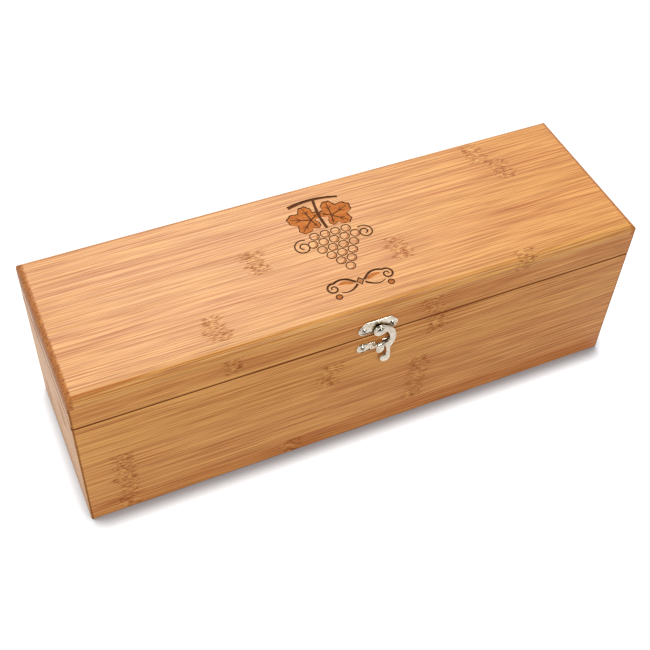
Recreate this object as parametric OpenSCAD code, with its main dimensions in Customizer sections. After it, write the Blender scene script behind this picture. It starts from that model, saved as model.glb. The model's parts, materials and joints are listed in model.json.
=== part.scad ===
// Bamboo box for one wine bottle: a mitred case, a hinged lid and a swing catch.
// The origin is the middle of the underside. +X runs along the box to the right,
// +Y runs to the back, where the hinges are, and +Z is up. Sizes are millimetres.

/* [Box] */
// Outside length of the box
box_l = 360; // [330:1:420]
// Outside depth of the box, front to back
box_w = 110; // [104:1:140]
// Height of the case, from the table to its rim
case_h = 91.6; // [84:0.1:120]
// Height of the lid, from its rim to its top face
lid_h = 24.6; // [22:0.1:40]
// Gap between the two rims with the lid shut
seam_gap = 0.5; // [0.3:0.1:1]
// Thickness of the four walls and of the lid rails
wall_t = 10; // [9.5:0.1:12]
// Thickness of the lid's top panel
lid_top_t = 7.5; // [5:0.1:8.5]
// Radius of the rounded edge round the top face
top_round = 4.5; // [2:0.1:5]
// Radius of the four upright corners
corner_r = 1.2; // [0.4:0.1:3]
// Thickness of the bottom panel
bottom_t = 6; // [4:0.1:9]
// Width of the rebate that the bottom panel is glued into
bottom_seat = 4.5; // [3:0.1:6]
// Gap round the bottom panel's edge
bottom_clear = 0.15; // [0.05:0.05:0.4]

/* [Bottle rests] */
// Thickness of the two rests
rest_t = 9; // [6:0.5:14]
// Bottle diameter that the body rest is cut for
bottle_d = 78; // [70:1:80]
// Neck diameter that the neck rest is cut for
neck_d = 31; // [26:1:40]
// Height of the bottle's side above the floor of the box
bottle_lift = 4; // [3:0.5:8]
// Height of the body rest
body_rest_h = 31; // [20:1:36]
// Height of the neck rest
neck_rest_h = 46; // [40:1:60]
// Distance from the box's middle to the body rest, to the left
body_rest_x = 82; // [40:1:120]
// Distance from the box's middle to the neck rest, to the right
neck_rest_x = 104; // [80:1:120]
// Gap between each end of a rest and the wall
rest_clear = 0.2; // [0.1:0.05:0.5]

/* [Hinges] */
// Distance from the box's middle to the middle of each hinge
hinge_x = 112; // [60:1:130]
// Length of a hinge along its barrel
hinge_l = 25; // [20:0.5:32]
// Width of a leaf, from the pin's axis to its front edge
leaf_w = 6.6; // [6.2:0.1:6.8]
// Thickness of a leaf
leaf_t = 0.95; // [0.8:0.05:1.2]
// Gap between the two shut leaves
leaf_gap = 0.1; // [0.06:0.02:0.2]
// Outside radius of the barrel
barrel_r = 1.9; // [1.7:0.05:2]
// Radius of the hinge pin
pin_r = 0.8; // [0.6:0.05:1]
// Gap between the pin and the bore of the barrel
pin_clear = 0.04; // [0.02:0.01:0.08]
// Distance from the back of the box to the pin's axis
axis_inset = 2.2; // [2.1:0.05:2.3]
// Number of knuckles along a barrel
knuckles = 5; // [3:2:7]
// Gap between two knuckles, and round a barrel in the wood
knuckle_gap = 0.15; // [0.1:0.05:0.25]
// Radius of the peened heads on the hinge pin
pin_head_r = 1.3; // [1.2:0.05:1.5]
// Thickness of the peened heads on the hinge pin
pin_head_t = 0.5; // [0.3:0.1:0.8]
// Opening angle at which the back bevels stop the lid
open_deg = 100; // [90:1:110]
// Angle left between the two bevels when the lid is fully open
bevel_clear_deg = 1; // [0.5:0.5:3]
// Gap between a leaf's edges and its recess
leaf_clear = 0.15; // [0.05:0.05:0.3]

/* [Hinge screws] */
// Distance between the two screws in a leaf
hinge_screw_pitch = 14; // [12:0.5:16]
// Distance from the pin's axis to the screws
hinge_screw_y = 4.4; // [4.2:0.1:4.6]
// Head radius of the hinge screws
hinge_head_r = 1.7; // [1.5:0.05:1.8]
// Shank radius of the hinge screws
hinge_shank_r = 0.85; // [0.7:0.05:1]
// Length of the hinge screws
hinge_screw_l = 8; // [6:0.5:12]

/* [Catch plates] */
// Distance from the box's middle to the catch, to the right
catch_x = 3; // [0:0.5:20]
// Thickness of the lid plate and of the keeper plate
plate_t = 1.3; // [1.2:0.1:1.8]
// Distance between the two screws of each plate
catch_screw_pitch = 18.2; // [18:0.2:24]
// Radius of the rounded ears round the plate screws
ear_r = 3.8; // [3.4:0.1:4.2]
// Height of the lid plate's screws above the seam
plate_screw_z = 7.4; // [7:0.1:9]
// Width of the lid plate along its top edge
plate_top_w = 17.6; // [14:0.2:18]
// Height of the lid plate's top edge above its screws
plate_rise = 6.5; // [6:0.1:7]
// Radius of the lid plate's two top corners
plate_corner_r = 1; // [0.4:0.1:2]
// Depth of the keeper's screws below the seam
keeper_screw_z = 8.4; // [7.8:0.1:9]
// Height of the plain middle of the keeper plate
keeper_mid_h = 6.6; // [6:0.1:7.8]
// Head radius of the catch screws
catch_head_r = 2.2; // [1.8:0.05:2.4]
// Shank radius of the catch screws
catch_shank_r = 1.1; // [0.8:0.05:1.2]
// Length of the catch screws
catch_screw_l = 8.5; // [6:0.5:9]
// Width of the cross slots in every screw
slot_w = 0.5; // [0.3:0.05:0.6]
// Depth of the cross slots in every screw
slot_d = 0.6; // [0.3:0.05:0.7]

/* [Catch lever] */
// Sideways place of the lever's pivot from the catch's middle
pivot_x = 1; // [-1:0.1:1.5]
// Height of the pivot above the seam
pivot_z = 5.4; // [5:0.1:6.4]
// Thickness of the lever
lever_t = 1.7; // [1.2:0.1:2]
// Gap between the lever and what lies behind and in front of it
lever_gap = 0.2; // [0.1:0.05:0.4]
// Radius of the lever's round boss
boss_r = 4.5; // [4:0.1:4.8]
// Outside radius of the lever's bow
bow_r = 13; // [12.4:0.1:13.6]
// Width of the lever's bow
bow_w = 4.4; // [3.6:0.1:4.8]
// Depth of the bow's middle below the pivot
bow_drop = 8.8; // [8.2:0.1:9.4]
// Sideways place of the bow's middle, to the left of the pivot
bow_back = 2; // [1.4:0.1:2.4]
// Width of the hook's nose
nose_w = 2.5; // [2:0.1:3]
// Width of the lever's tail
tail_w = 2.8; // [2.2:0.1:3.4]
// Radius of the thumb tab
thumb_r = 3.4; // [2.8:0.1:4.2]
// Depth of the thumb tab's middle below the pivot
thumb_drop = 26.8; // [24:0.2:31]
// Sideways place of the thumb tab's middle, to the right of the pivot
thumb_x = 5; // [3:0.2:7]
// Radius of the rivet's shank
rivet_r = 1.4; // [1.1:0.05:1.6]
// Radius of the rivet's domed head
rivet_head_r = 2.5; // [2:0.05:2.8]
// Height of the rivet's domed head
rivet_head_h = 0.9; // [0.6:0.05:1.2]
// Thickness of the rivet's flat tail, let into the back of the plate
rivet_tail_t = 0.5; // [0.3:0.05:0.7]
// Gap between the rivet and the lever's bore
rivet_clear = 0.05; // [0.02:0.01:0.1]
// Width of the keeper's tongue
tongue_w = 5.2; // [4:0.1:6]
// Thickness of the keeper's tongue
tongue_t = 1.1; // [0.8:0.1:1.4]
// Length of the keeper's tongue, from the top of its bend to its tip
tongue_l = 7.7; // [7.2:0.1:9.6]
// Inside radius of the tongue's bend
bend_r = 0.6; // [0.3:0.1:1]
// Play between the hook's nose and the tongue's bend
latch_play = 0.5; // [0.3:0.1:1]

/* [Hidden] */
$fn = 48;

// Colours, as the photograph shows them
BAMBOO = [0.90, 0.68, 0.47];
BAMBOO_DARK = [0.75, 0.51, 0.31];
NICKEL = [0.80, 0.78, 0.74];
STEEL = [0.72, 0.72, 0.72];

// Cutters run this far past what they cut
past = 1;
// Radial gap round a screw or a rivet tail in its hole
hole_clear = 0.05;

front_y = -box_w / 2;
back_y = box_w / 2;
lid_rim_z = case_h + seam_gap;
seam_z = case_h + seam_gap / 2;
lid_top_z = lid_rim_z + lid_h;
rail_top_z = lid_top_z - lid_top_t;
inner_w = box_w - 2 * wall_t;
axis_y = back_y - axis_inset;
axis_z = seam_z;
mortise_z = leaf_gap / 2 + leaf_t;
bevel_deg = (open_deg + bevel_clear_deg) / 2;
bottle_z = bottom_t + bottle_lift + bottle_d / 2;
lever_y = front_y - plate_t - lever_gap;
tongue_y = lever_y - lever_t - lever_gap;
tongue_top = keeper_mid_h / 2 - keeper_screw_z;
hook_r = norm([tongue_w / 2, pivot_z - tongue_top + tongue_t]) + latch_play;

// ---- outlines and cutters shared by several pieces ----

// The box seen from above, with its rounded corners
module plan_outline() {
  square([box_l - 2 * corner_r, box_w], center = true);
  square([box_l, box_w - 2 * corner_r], center = true);
  for (sx = [-1, 1], sy = [-1, 1])
    translate([sx * (box_l / 2 - corner_r), sy * (box_w / 2 - corner_r)])
      circle(corner_r);
}

// One long side of the ring of walls, mitred at both ends; side is -1 at the front
module long_mitre(side) {
  y = side * box_w / 2;
  polygon([
    [-box_l / 2, y], [box_l / 2, y],
    [box_l / 2 - wall_t, y - side * wall_t], [-box_l / 2 + wall_t, y - side * wall_t],
  ]);
}

// One short side of the ring of walls, mitred at both ends; side is -1 at the left
module end_mitre(side) {
  x = side * box_l / 2;
  polygon([
    [x, -box_w / 2], [x, box_w / 2],
    [x - side * wall_t, box_w / 2 - wall_t], [x - side * wall_t, -box_w / 2 + wall_t],
  ]);
}

// A wall of the case, from the table to the rim, with the rebate for the bottom panel
module case_wall() {
  rebate = wall_t - bottom_seat;
  difference() {
    linear_extrude(case_h)
      intersection() {
        children();
        plan_outline();
      }
    translate([-box_l / 2 + rebate, -box_w / 2 + rebate, -past])
      cube([box_l - 2 * rebate, box_w - 2 * rebate, bottom_t + past]);
    back_bevels();
  }
}

// A rail of the lid, from the lid's rim to the underside of the top panel
module lid_rail() {
  difference() {
    translate([0, 0, lid_rim_z])
      linear_extrude(rail_top_z - lid_rim_z)
        intersection() {
          children();
          plan_outline();
        }
    back_bevels();
  }
}

// The long wedge cut along the back of case and lid, whose two bevels meet when the lid
// is open
module back_bevels() {
  reach = axis_inset + past;
  rise = reach * tan(bevel_deg);
  translate([-box_l / 2 - past, axis_y, axis_z])
    rotate([90, 0, 90])
      linear_extrude(box_l + 2 * past)
        polygon([[0, 0], [reach, -rise], [reach, rise]]);
}

// A cylinder along X on the hinge axis
module on_axis(length, r) {
  translate([-length / 2, axis_y, axis_z])
    rotate([0, 90, 0])
      cylinder(h = length, r = r);
}

// The recess for one hinge: both leaves, the barrel and the pin's heads
module hinge_recess() {
  length = hinge_l + 2 * leaf_clear;
  front = leaf_w + leaf_clear;
  translate([-length / 2, axis_y - front, axis_z - mortise_z])
    cube([length, front, 2 * mortise_z]);
  on_axis(hinge_l + 2 * pin_head_t + 2 * knuckle_gap, barrel_r + knuckle_gap);
}

// Places for the screws of one hinge
module at_hinge_screws() {
  for (sx = [-1, 1])
    translate([sx * hinge_screw_pitch / 2, axis_y - hinge_screw_y, axis_z])
      children();
}

// Both hinges
module at_hinges() {
  for (sx = [-1, 1])
    translate([sx * hinge_x, 0, 0])
      children();
}

// Places for the two screws of a catch plate, head outwards, at a height z from the seam
module at_catch_screws(z) {
  for (sx = [-1, 1])
    translate([catch_x + sx * catch_screw_pitch / 2, front_y - plate_t, seam_z + z])
      rotate([90, 0, 0])
        children();
}

// ---- fasteners ----

// A countersunk wood screw with its head's face at the origin, pointing down
module wood_screw(head_r, shank_r, length) {
  cone = head_r - shank_r;
  difference() {
    rotate_extrude()
      polygon([
        [0, 0], [head_r, 0], [shank_r, -cone], [shank_r, -length + 2 * shank_r],
        [0, -length],
      ]);
    for (turn = [0, 90])
      rotate(turn)
        translate([-head_r * 0.6, -slot_w / 2, -slot_d])
          cube([head_r * 1.2, slot_w, slot_d + past]);
  }
}

// The hole that such a screw sits in, with the same head and a little room round it
module screw_hole(head_r, shank_r, length) {
  cone = head_r - shank_r;
  rotate_extrude()
    polygon([
      [0, past], [head_r + hole_clear, past], [head_r + hole_clear, 0],
      [shank_r + hole_clear, -cone], [shank_r + hole_clear, -length - past], [0, -length - past],
    ]);
}

// ---- case ----

module front_panel() {
  color(BAMBOO_DARK)
    difference() {
      case_wall() long_mitre(-1);
      at_catch_screws(-keeper_screw_z)
        screw_hole(catch_head_r, catch_shank_r, catch_screw_l);
    }
}

module back_panel() {
  color(BAMBOO_DARK)
    difference() {
      case_wall() long_mitre(1);
      at_hinges() {
        hinge_recess();
        at_hinge_screws()
          translate([0, 0, -leaf_gap / 2])
            screw_hole(hinge_head_r, hinge_shank_r, hinge_screw_l);
      }
    }
}

module left_end_panel() {
  color(BAMBOO) case_wall() end_mitre(-1);
}

module right_end_panel() {
  color(BAMBOO) case_wall() end_mitre(1);
}

module bottom_panel() {
  inset = wall_t - bottom_seat + bottom_clear;
  color(BAMBOO)
    translate([-box_l / 2 + inset, -box_w / 2 + inset, 0])
      cube([box_l - 2 * inset, box_w - 2 * inset, bottom_t]);
}

// A board across the box, glued to the floor, with a round notch for the bottle
module bottle_rest(x, height, notch_d) {
  width = inner_w - 2 * rest_clear;
  translate([x - rest_t / 2, 0, 0])
    rotate([90, 0, 90])
      linear_extrude(rest_t)
        difference() {
          translate([-width / 2, bottom_t])
            square([width, height]);
          translate([0, bottle_z])
            circle(d = notch_d, $fn = 96);
          translate([-notch_d / 2, bottle_z])
            square([notch_d, height]);
        }
}

module bottle_body_rest() {
  color(BAMBOO) bottle_rest(-body_rest_x, body_rest_h, bottle_d);
}

module bottle_neck_rest() {
  color(BAMBOO) bottle_rest(neck_rest_x, neck_rest_h, neck_d);
}

// ---- lid ----

// A slab of the lid's outline whose two top edges along its length are rounded
module rounded_bar(length, width) {
  translate([-length / 2, 0, 0])
    rotate([90, 0, 90])
      linear_extrude(length) {
        translate([-width / 2, rail_top_z])
          square([width, lid_top_t - top_round]);
        translate([-width / 2 + top_round, rail_top_z])
          square([width - 2 * top_round, lid_top_t]);
        for (sy = [-1, 1])
          translate([sy * (width / 2 - top_round), lid_top_z - top_round])
            circle(top_round);
      }
}

module lid_top_panel() {
  color(BAMBOO)
    intersection() {
      rounded_bar(box_l, box_w);
      rotate(90) rounded_bar(box_w, box_l);
      translate([0, 0, rail_top_z])
        linear_extrude(lid_top_t)
          plan_outline();
    }
}

module lid_front_rail() {
  color(BAMBOO_DARK)
    difference() {
      lid_rail() long_mitre(-1);
      at_catch_screws(plate_screw_z)
        screw_hole(catch_head_r, catch_shank_r, catch_screw_l);
    }
}

module lid_back_rail() {
  color(BAMBOO_DARK)
    difference() {
      lid_rail() long_mitre(1);
      at_hinges() {
        hinge_recess();
        at_hinge_screws()
          translate([0, 0, leaf_gap / 2])
            rotate([180, 0, 0])
              screw_hole(hinge_head_r, hinge_shank_r, hinge_screw_l);
      }
    }
}

module lid_left_rail() {
  color(BAMBOO) lid_rail() end_mitre(-1);
}

module lid_right_rail() {
  color(BAMBOO) lid_rail() end_mitre(1);
}

// ---- hinges ----

// The knuckles of one leaf, grown by a gap; the case leaf has the first and the last
module knuckle_set(first, r, grow) {
  pitch = hinge_l / knuckles;
  for (i = [first : 2 : knuckles - 1])
    translate([-hinge_l / 2 + (i + 0.5) * pitch, 0, 0])
      on_axis(pitch - knuckle_gap + 2 * grow, r);
}

// One leaf with its knuckles; side is -1 under the seam and 1 above it
module hinge_leaf(side) {
  own = side < 0 ? 0 : 1;
  other = 1 - own;
  low = side < 0 ? -mortise_z : leaf_gap / 2;
  difference() {
    union() {
      translate([-hinge_l / 2, axis_y - leaf_w, axis_z + low])
        cube([hinge_l, leaf_w, leaf_t]);
      knuckle_set(own, barrel_r, 0);
    }
    knuckle_set(other, barrel_r + knuckle_gap, knuckle_gap);
    on_axis(hinge_l + 2 * past, pin_r + pin_clear);
    at_hinge_screws()
      translate([0, 0, side * leaf_gap / 2])
        rotate([side < 0 ? 0 : 180, 0, 0])
          screw_hole(hinge_head_r, hinge_shank_r, hinge_screw_l);
  }
}

// The pin with its two peened heads
module hinge_pin() {
  length = hinge_l + 2 * pin_head_t;
  on_axis(length, pin_r);
  for (sx = [-1, 1])
    translate([sx * (length - pin_head_t) / 2, 0, 0])
      on_axis(pin_head_t - 2 * hole_clear, pin_head_r);
}

module left_hinge_case_leaf() {
  color(NICKEL) translate([-hinge_x, 0, 0]) hinge_leaf(-1);
}

module right_hinge_case_leaf() {
  color(NICKEL) translate([hinge_x, 0, 0]) hinge_leaf(-1);
}

module left_hinge_lid_leaf() {
  color(NICKEL) translate([-hinge_x, 0, 0]) hinge_leaf(1);
}

module right_hinge_lid_leaf() {
  color(NICKEL) translate([hinge_x, 0, 0]) hinge_leaf(1);
}

module left_hinge_pin() {
  color(STEEL) translate([-hinge_x, 0, 0]) hinge_pin();
}

module right_hinge_pin() {
  color(STEEL) translate([hinge_x, 0, 0]) hinge_pin();
}

module hinge_case_screws() {
  color(STEEL)
    at_hinges() at_hinge_screws()
      translate([0, 0, -leaf_gap / 2])
        wood_screw(hinge_head_r, hinge_shank_r, hinge_screw_l);
}

module hinge_lid_screws() {
  color(STEEL)
    at_hinges() at_hinge_screws()
      translate([0, 0, leaf_gap / 2])
        rotate([180, 0, 0])
          wood_screw(hinge_head_r, hinge_shank_r, hinge_screw_l);
}

// ---- catch ----

// Stands a drawing of the catch on the box's front, from depth y, thick outwards.
// In the drawing, x is measured from the catch's middle and y from the seam.
module on_front(y, thick) {
  translate([catch_x, y, seam_z])
    rotate([90, 0, 0])
      linear_extrude(thick)
        children();
}

// The direction, from the middles of two circles, in which the line lies that touches
// both on the right-hand side going from a to b
function tangent_side(a, r_a, b, r_b) =
  let (run = b - a, angle = atan2(run[1], run[0]) - acos((r_a - r_b) / norm(run)))
  [cos(angle), sin(angle)];

function flip_x(p) = [-p[0], p[1]];

// The lid plate: straight along the top, with a round ear at each screw
module plate_outline() {
  half = catch_screw_pitch / 2;
  low = plate_screw_z - ear_r;
  top = plate_screw_z + plate_rise;
  ear = [half, plate_screw_z];
  corner = [plate_top_w / 2 - plate_corner_r, top - plate_corner_r];
  side = tangent_side(ear, ear_r, corner, plate_corner_r);
  for (sx = [-1, 1]) {
    translate([sx * ear[0], ear[1]]) circle(ear_r);
    translate([sx * corner[0], corner[1]]) circle(plate_corner_r);
  }
  polygon([
    [-half, low], [half, low], ear + ear_r * side, corner + plate_corner_r * side, [corner[0], top],
    [-corner[0], top], flip_x(corner + plate_corner_r * side), flip_x(ear + ear_r * side),
  ]);
}

// The keeper plate: a bar with a round ear at each screw
module keeper_outline() {
  half = catch_screw_pitch / 2;
  for (sx = [-1, 1])
    translate([sx * half, -keeper_screw_z]) circle(ear_r);
  translate([-half, -keeper_screw_z - keeper_mid_h / 2])
    square([2 * half, keeper_mid_h]);
}

// Part of a ring between two angles, less than half a turn apart
module ring_part(outer, inner, from, to) {
  far = 2 * outer;
  difference() {
    intersection() {
      circle(outer);
      polygon([
        [0, 0], far * [cos(from), sin(from)],
        far * [cos((from + to) / 2), sin((from + to) / 2)], far * [cos(to), sin(to)],
      ]);
    }
    circle(inner);
  }
}

// A straight bar of a given width between two points
module bar(a, b, width) {
  run = b - a;
  translate(a)
    rotate(atan2(run[1], run[0]))
      translate([0, -width / 2])
        square([norm(run), width]);
}

// The lever, with its pivot at the drawing's origin: a boss, a bow that swells to the
// right, a hook whose nose follows a circle round the pivot, and a tail with a thumb tab
module lever_outline() {
  nose_from = -96;
  nose_to = -52;
  nose_r = hook_r + nose_w / 2;
  bow_mid = bow_r - bow_w / 2;
  bow_centre = [-bow_back, -bow_drop];
  bow_start = 80;
  bow_end = -40;
  join = bow_centre + bow_mid * [cos(bow_end), sin(bow_end)];
  thumb = [thumb_x, -thumb_drop];
  heel = thumb + [thumb_r - tail_w / 2, 0];
  circle(boss_r);
  translate(bow_centre) ring_part(bow_r, bow_r - bow_w, bow_end, bow_start);
  ring_part(hook_r + nose_w, hook_r, nose_from, nose_to);
  translate(nose_r * [cos(nose_from), sin(nose_from)]) circle(nose_w / 2);
  translate(join) circle(bow_w / 2);
  bar(join, heel, tail_w);
  translate(thumb) circle(thumb_r);
}

module catch_plate() {
  color(NICKEL)
    difference() {
      on_front(front_y, plate_t) plate_outline();
      at_catch_screws(plate_screw_z)
        screw_hole(catch_head_r, catch_shank_r, catch_screw_l);
      on_pivot(front_y + past, plate_t + 2 * past, rivet_r + hole_clear);
      on_pivot(front_y + past, rivet_tail_t + past + hole_clear, rivet_head_r);
    }
}

// A disc on the pivot's axis, from depth y outwards
module on_pivot(y, thick, r) {
  translate([catch_x + pivot_x, y, seam_z + pivot_z])
    rotate([90, 0, 0])
      cylinder(h = thick, r = r);
}

module catch_plate_screws() {
  color(STEEL)
    at_catch_screws(plate_screw_z)
      wood_screw(catch_head_r, catch_shank_r, catch_screw_l);
}

// The rivet: a domed head, a shank through lever and plate, and a flat tail
module catch_rivet() {
  stack = plate_t + 2 * lever_gap + lever_t;
  dome_r = (rivet_head_r * rivet_head_r + rivet_head_h * rivet_head_h) / (2 * rivet_head_h);
  color(NICKEL) {
    on_pivot(front_y, stack, rivet_r);
    on_pivot(front_y, rivet_tail_t, rivet_head_r - hole_clear);
    translate([catch_x + pivot_x, front_y - stack, seam_z + pivot_z])
      rotate([90, 0, 0])
        rotate_extrude()
          intersection() {
            translate([0, rivet_head_h - dome_r]) circle(dome_r);
            square([rivet_head_r, rivet_head_h]);
          }
  }
}

module catch_lever() {
  color(NICKEL)
    difference() {
      translate([catch_x + pivot_x, lever_y, seam_z + pivot_z])
        rotate([90, 0, 0])
          linear_extrude(lever_t)
            lever_outline();
      on_pivot(front_y, plate_t + lever_t + 2 * past, rivet_r + rivet_clear);
    }
}

// The keeper: a plate whose tongue is bent outwards and down over the hook
module catch_keeper() {
  color(NICKEL)
    difference() {
      union() {
        on_front(front_y, plate_t) keeper_outline();
        tongue();
      }
      at_catch_screws(-keeper_screw_z)
        screw_hole(catch_head_r, catch_shank_r, catch_screw_l);
    }
}

// A square corner block, reaching left and down from the origin, whose outer corner is round
module round_corner(across, down, r) {
  translate([-across, -down]) square([across, down - r]);
  translate([-across + r, -down]) square([across - r, down]);
  translate([-across + r, -r]) circle(r);
}

module tongue() {
  top = seam_z + tongue_top;
  reach = front_y - tongue_y + tongue_t;
  intersection() {
    translate([catch_x + pivot_x - tongue_w / 2, front_y, top])
      rotate([90, 0, 90])
        linear_extrude(tongue_w)
          difference() {
            round_corner(reach, tongue_l, bend_r + tongue_t);
            translate([past, -tongue_t])
              round_corner(reach - tongue_t + past, tongue_l, bend_r);
          }
    translate([catch_x + pivot_x, front_y + past, top])
      rotate([90, 0, 0])
        linear_extrude(reach + 2 * past) {
          translate([0, tongue_w / 2 - tongue_l]) circle(tongue_w / 2);
          translate([-tongue_w / 2, tongue_w / 2 - tongue_l])
            square([tongue_w, tongue_l]);
        }
  }
}

module catch_keeper_screws() {
  color(STEEL)
    at_catch_screws(-keeper_screw_z)
      wood_screw(catch_head_r, catch_shank_r, catch_screw_l);
}

front_panel();
back_panel();
left_end_panel();
right_end_panel();
bottom_panel();
bottle_body_rest();
bottle_neck_rest();
lid_top_panel();
lid_front_rail();
lid_back_rail();
lid_left_rail();
lid_right_rail();
left_hinge_case_leaf();
right_hinge_case_leaf();
left_hinge_lid_leaf();
right_hinge_lid_leaf();
left_hinge_pin();
right_hinge_pin();
hinge_case_screws();
hinge_lid_screws();
catch_plate();
catch_plate_screws();
catch_rivet();
catch_lever();
catch_keeper();
catch_keeper_screws();
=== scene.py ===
"""Bamboo box for one wine bottle: its boards, burnt-in vine ornament, hinges, swing catch,
screws and the plain studio that it stands in. Sizes in the settings are metres."""

import json
import math
from collections import namedtuple

import bmesh
import bpy
from bpy.props import FloatProperty, FloatVectorProperty, IntProperty, PointerProperty
from mathutils import Matrix, Vector

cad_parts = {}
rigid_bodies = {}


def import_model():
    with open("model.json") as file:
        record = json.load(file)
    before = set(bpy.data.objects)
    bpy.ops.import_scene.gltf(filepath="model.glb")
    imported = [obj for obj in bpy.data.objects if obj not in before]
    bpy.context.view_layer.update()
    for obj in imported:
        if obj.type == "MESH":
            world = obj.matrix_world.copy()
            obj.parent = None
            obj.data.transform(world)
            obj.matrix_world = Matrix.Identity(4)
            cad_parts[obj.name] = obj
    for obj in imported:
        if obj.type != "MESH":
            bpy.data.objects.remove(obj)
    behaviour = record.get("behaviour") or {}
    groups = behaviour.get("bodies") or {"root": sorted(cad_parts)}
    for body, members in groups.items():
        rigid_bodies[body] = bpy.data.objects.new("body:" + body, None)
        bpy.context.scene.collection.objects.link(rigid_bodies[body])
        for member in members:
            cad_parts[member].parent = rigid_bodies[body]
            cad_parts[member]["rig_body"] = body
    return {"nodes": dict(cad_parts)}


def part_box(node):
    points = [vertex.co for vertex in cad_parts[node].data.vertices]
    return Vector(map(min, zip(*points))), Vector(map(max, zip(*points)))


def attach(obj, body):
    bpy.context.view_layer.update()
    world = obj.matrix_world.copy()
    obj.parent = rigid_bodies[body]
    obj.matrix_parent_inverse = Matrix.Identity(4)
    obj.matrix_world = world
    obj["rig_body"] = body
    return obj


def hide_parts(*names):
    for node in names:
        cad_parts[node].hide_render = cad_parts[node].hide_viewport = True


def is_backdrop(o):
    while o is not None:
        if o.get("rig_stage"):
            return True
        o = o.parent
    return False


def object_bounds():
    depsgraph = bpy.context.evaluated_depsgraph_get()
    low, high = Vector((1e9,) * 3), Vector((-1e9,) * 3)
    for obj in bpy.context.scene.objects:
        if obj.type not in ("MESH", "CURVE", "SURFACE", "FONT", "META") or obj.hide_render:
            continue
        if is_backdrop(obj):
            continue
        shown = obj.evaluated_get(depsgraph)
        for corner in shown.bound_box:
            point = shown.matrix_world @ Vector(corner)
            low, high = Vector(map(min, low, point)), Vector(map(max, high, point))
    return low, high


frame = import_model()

bl_info = {
    "name": "Bamboo bottle box",
    "version": (1, 0, 0),
    "blender": (4, 5, 0),
    "location": "3D View > Sidebar > Bottle box",
    "description": "Builds a bamboo box for one bottle around its construction model",
    "category": "Object",
}

MM = 0.001
CAD_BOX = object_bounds()

CASE_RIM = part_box("front_panel")[1].z
LID_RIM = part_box("lid_front_rail")[0].z
LID_BASE, LID_TOP = (corner.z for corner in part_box("lid_top_panel"))
HALF_LENGTH, HALF_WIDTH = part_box("lid_top_panel")[1].xy
MITRE = HALF_LENGTH - HALF_WIDTH
PLATE_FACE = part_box("catch_plate")[0].y
UP, FRONT = Vector((0, 0, 1)), Vector((0, -1, 0))


def srgb(red, green, blue):
    """A colour as it looks on a screen, 0 to 255, as Blender's linear numbers."""
    def linear(c):
        c /= 255
        return c / 12.92 if c <= 0.04045 else ((c + 0.055) / 1.055) ** 2.4
    return tuple(linear(c) for c in (red, green, blue))


# ---- settings ----

def length(name, description, metres, low=0.0):
    return FloatProperty(name=name, description=description, default=metres, min=low, max=1.0,
                         precision=5, unit="LENGTH", subtype="DISTANCE")


def share(name, description, value, high=1.0):
    return FloatProperty(name=name, description=description, default=value, min=0.0, max=high,
                         subtype="FACTOR")


def colour(name, description, value):
    return FloatVectorProperty(name=name, description=description, default=value, size=3,
                               min=0.0, max=1.0, subtype="COLOR")


class BambooSettings(bpy.types.PropertyGroup):
    """Colours and edges of the bamboo boards"""
    pale: colour("Pale fibre", "The palest fibres of a strip", srgb(246, 178, 101))
    deep: colour("Deep fibre", "The darkest fibres of a strip", srgb(190, 108, 42))
    knuckle: colour("Node mark", "The mark that a cane's node leaves on a strip", srgb(142, 66, 12))
    end_pale: colour("Pale end grain", "The soft tissue on a cut end", srgb(222, 138, 58))
    end_dark: colour("Dark end grain", "The fibre bundles on a cut end", srgb(140, 72, 18))
    rim_edge: length("Rim edge", "Rounding of the rims where lid and case meet", 0.6 * MM)
    foot_edge: length("Foot edge", "Rounding of the case's lower outside edges", 0.9 * MM)
    inner_edge: length("Inner edge", "Rounding of the edges inside the box", 0.4 * MM)
    joint_edge: length("Joint edge", "Rounding of the edges along a glued joint", 0.07 * MM)
    top_round: length("Top rounding", "Radius of the rounded edge round the top", 4.5 * MM)
    # The joint colour is a mitre's dark joint line and also painted shade over the seam and under
    # the top's ends
    joint: colour("Joint", "The dark line of an open joint", srgb(122, 56, 12))
    # Seam shade and end shade are the heights of that painted shade
    seam_shade: length("Seam shade", "Height of the darkened wood over the seam", 1.2 * MM)
    end_shade: length("End shade", "Height of the darkened wood by the joints of the ends",
                      2.8 * MM)
    relief: length("Relief", "Height of the fibres as they stand proud", 0.05 * MM)


class OrnamentSettings(bpy.types.PropertyGroup):
    """The vine that is burnt into the lid"""
    centre_x: length("Sideways place", "Middle of the ornament along the lid", 1.0 * MM, -1.0)
    line_depth: length("Line depth", "Depth of the burnt lines", 0.4 * MM)
    fill_depth: length("Fill depth", "Depth of the burnt fills", 0.2 * MM)
    grape_r: length("Grape", "Outside radius of a grape", 3.2 * MM)
    grape_gap: length("Grape gap", "Gap between two grapes", 0.5 * MM)
    line_w: length("Line", "Width of a fine line", 0.8 * MM)
    leaf_r: length("Leaf", "Length of a leaf's middle lobe", 14.5 * MM)
    line_colour: colour("Burnt line", "The char in the deep lines", srgb(74, 28, 6))
    fill_colour: colour("Burnt fill", "The scorched floor of the fills", srgb(208, 120, 54))


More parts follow.
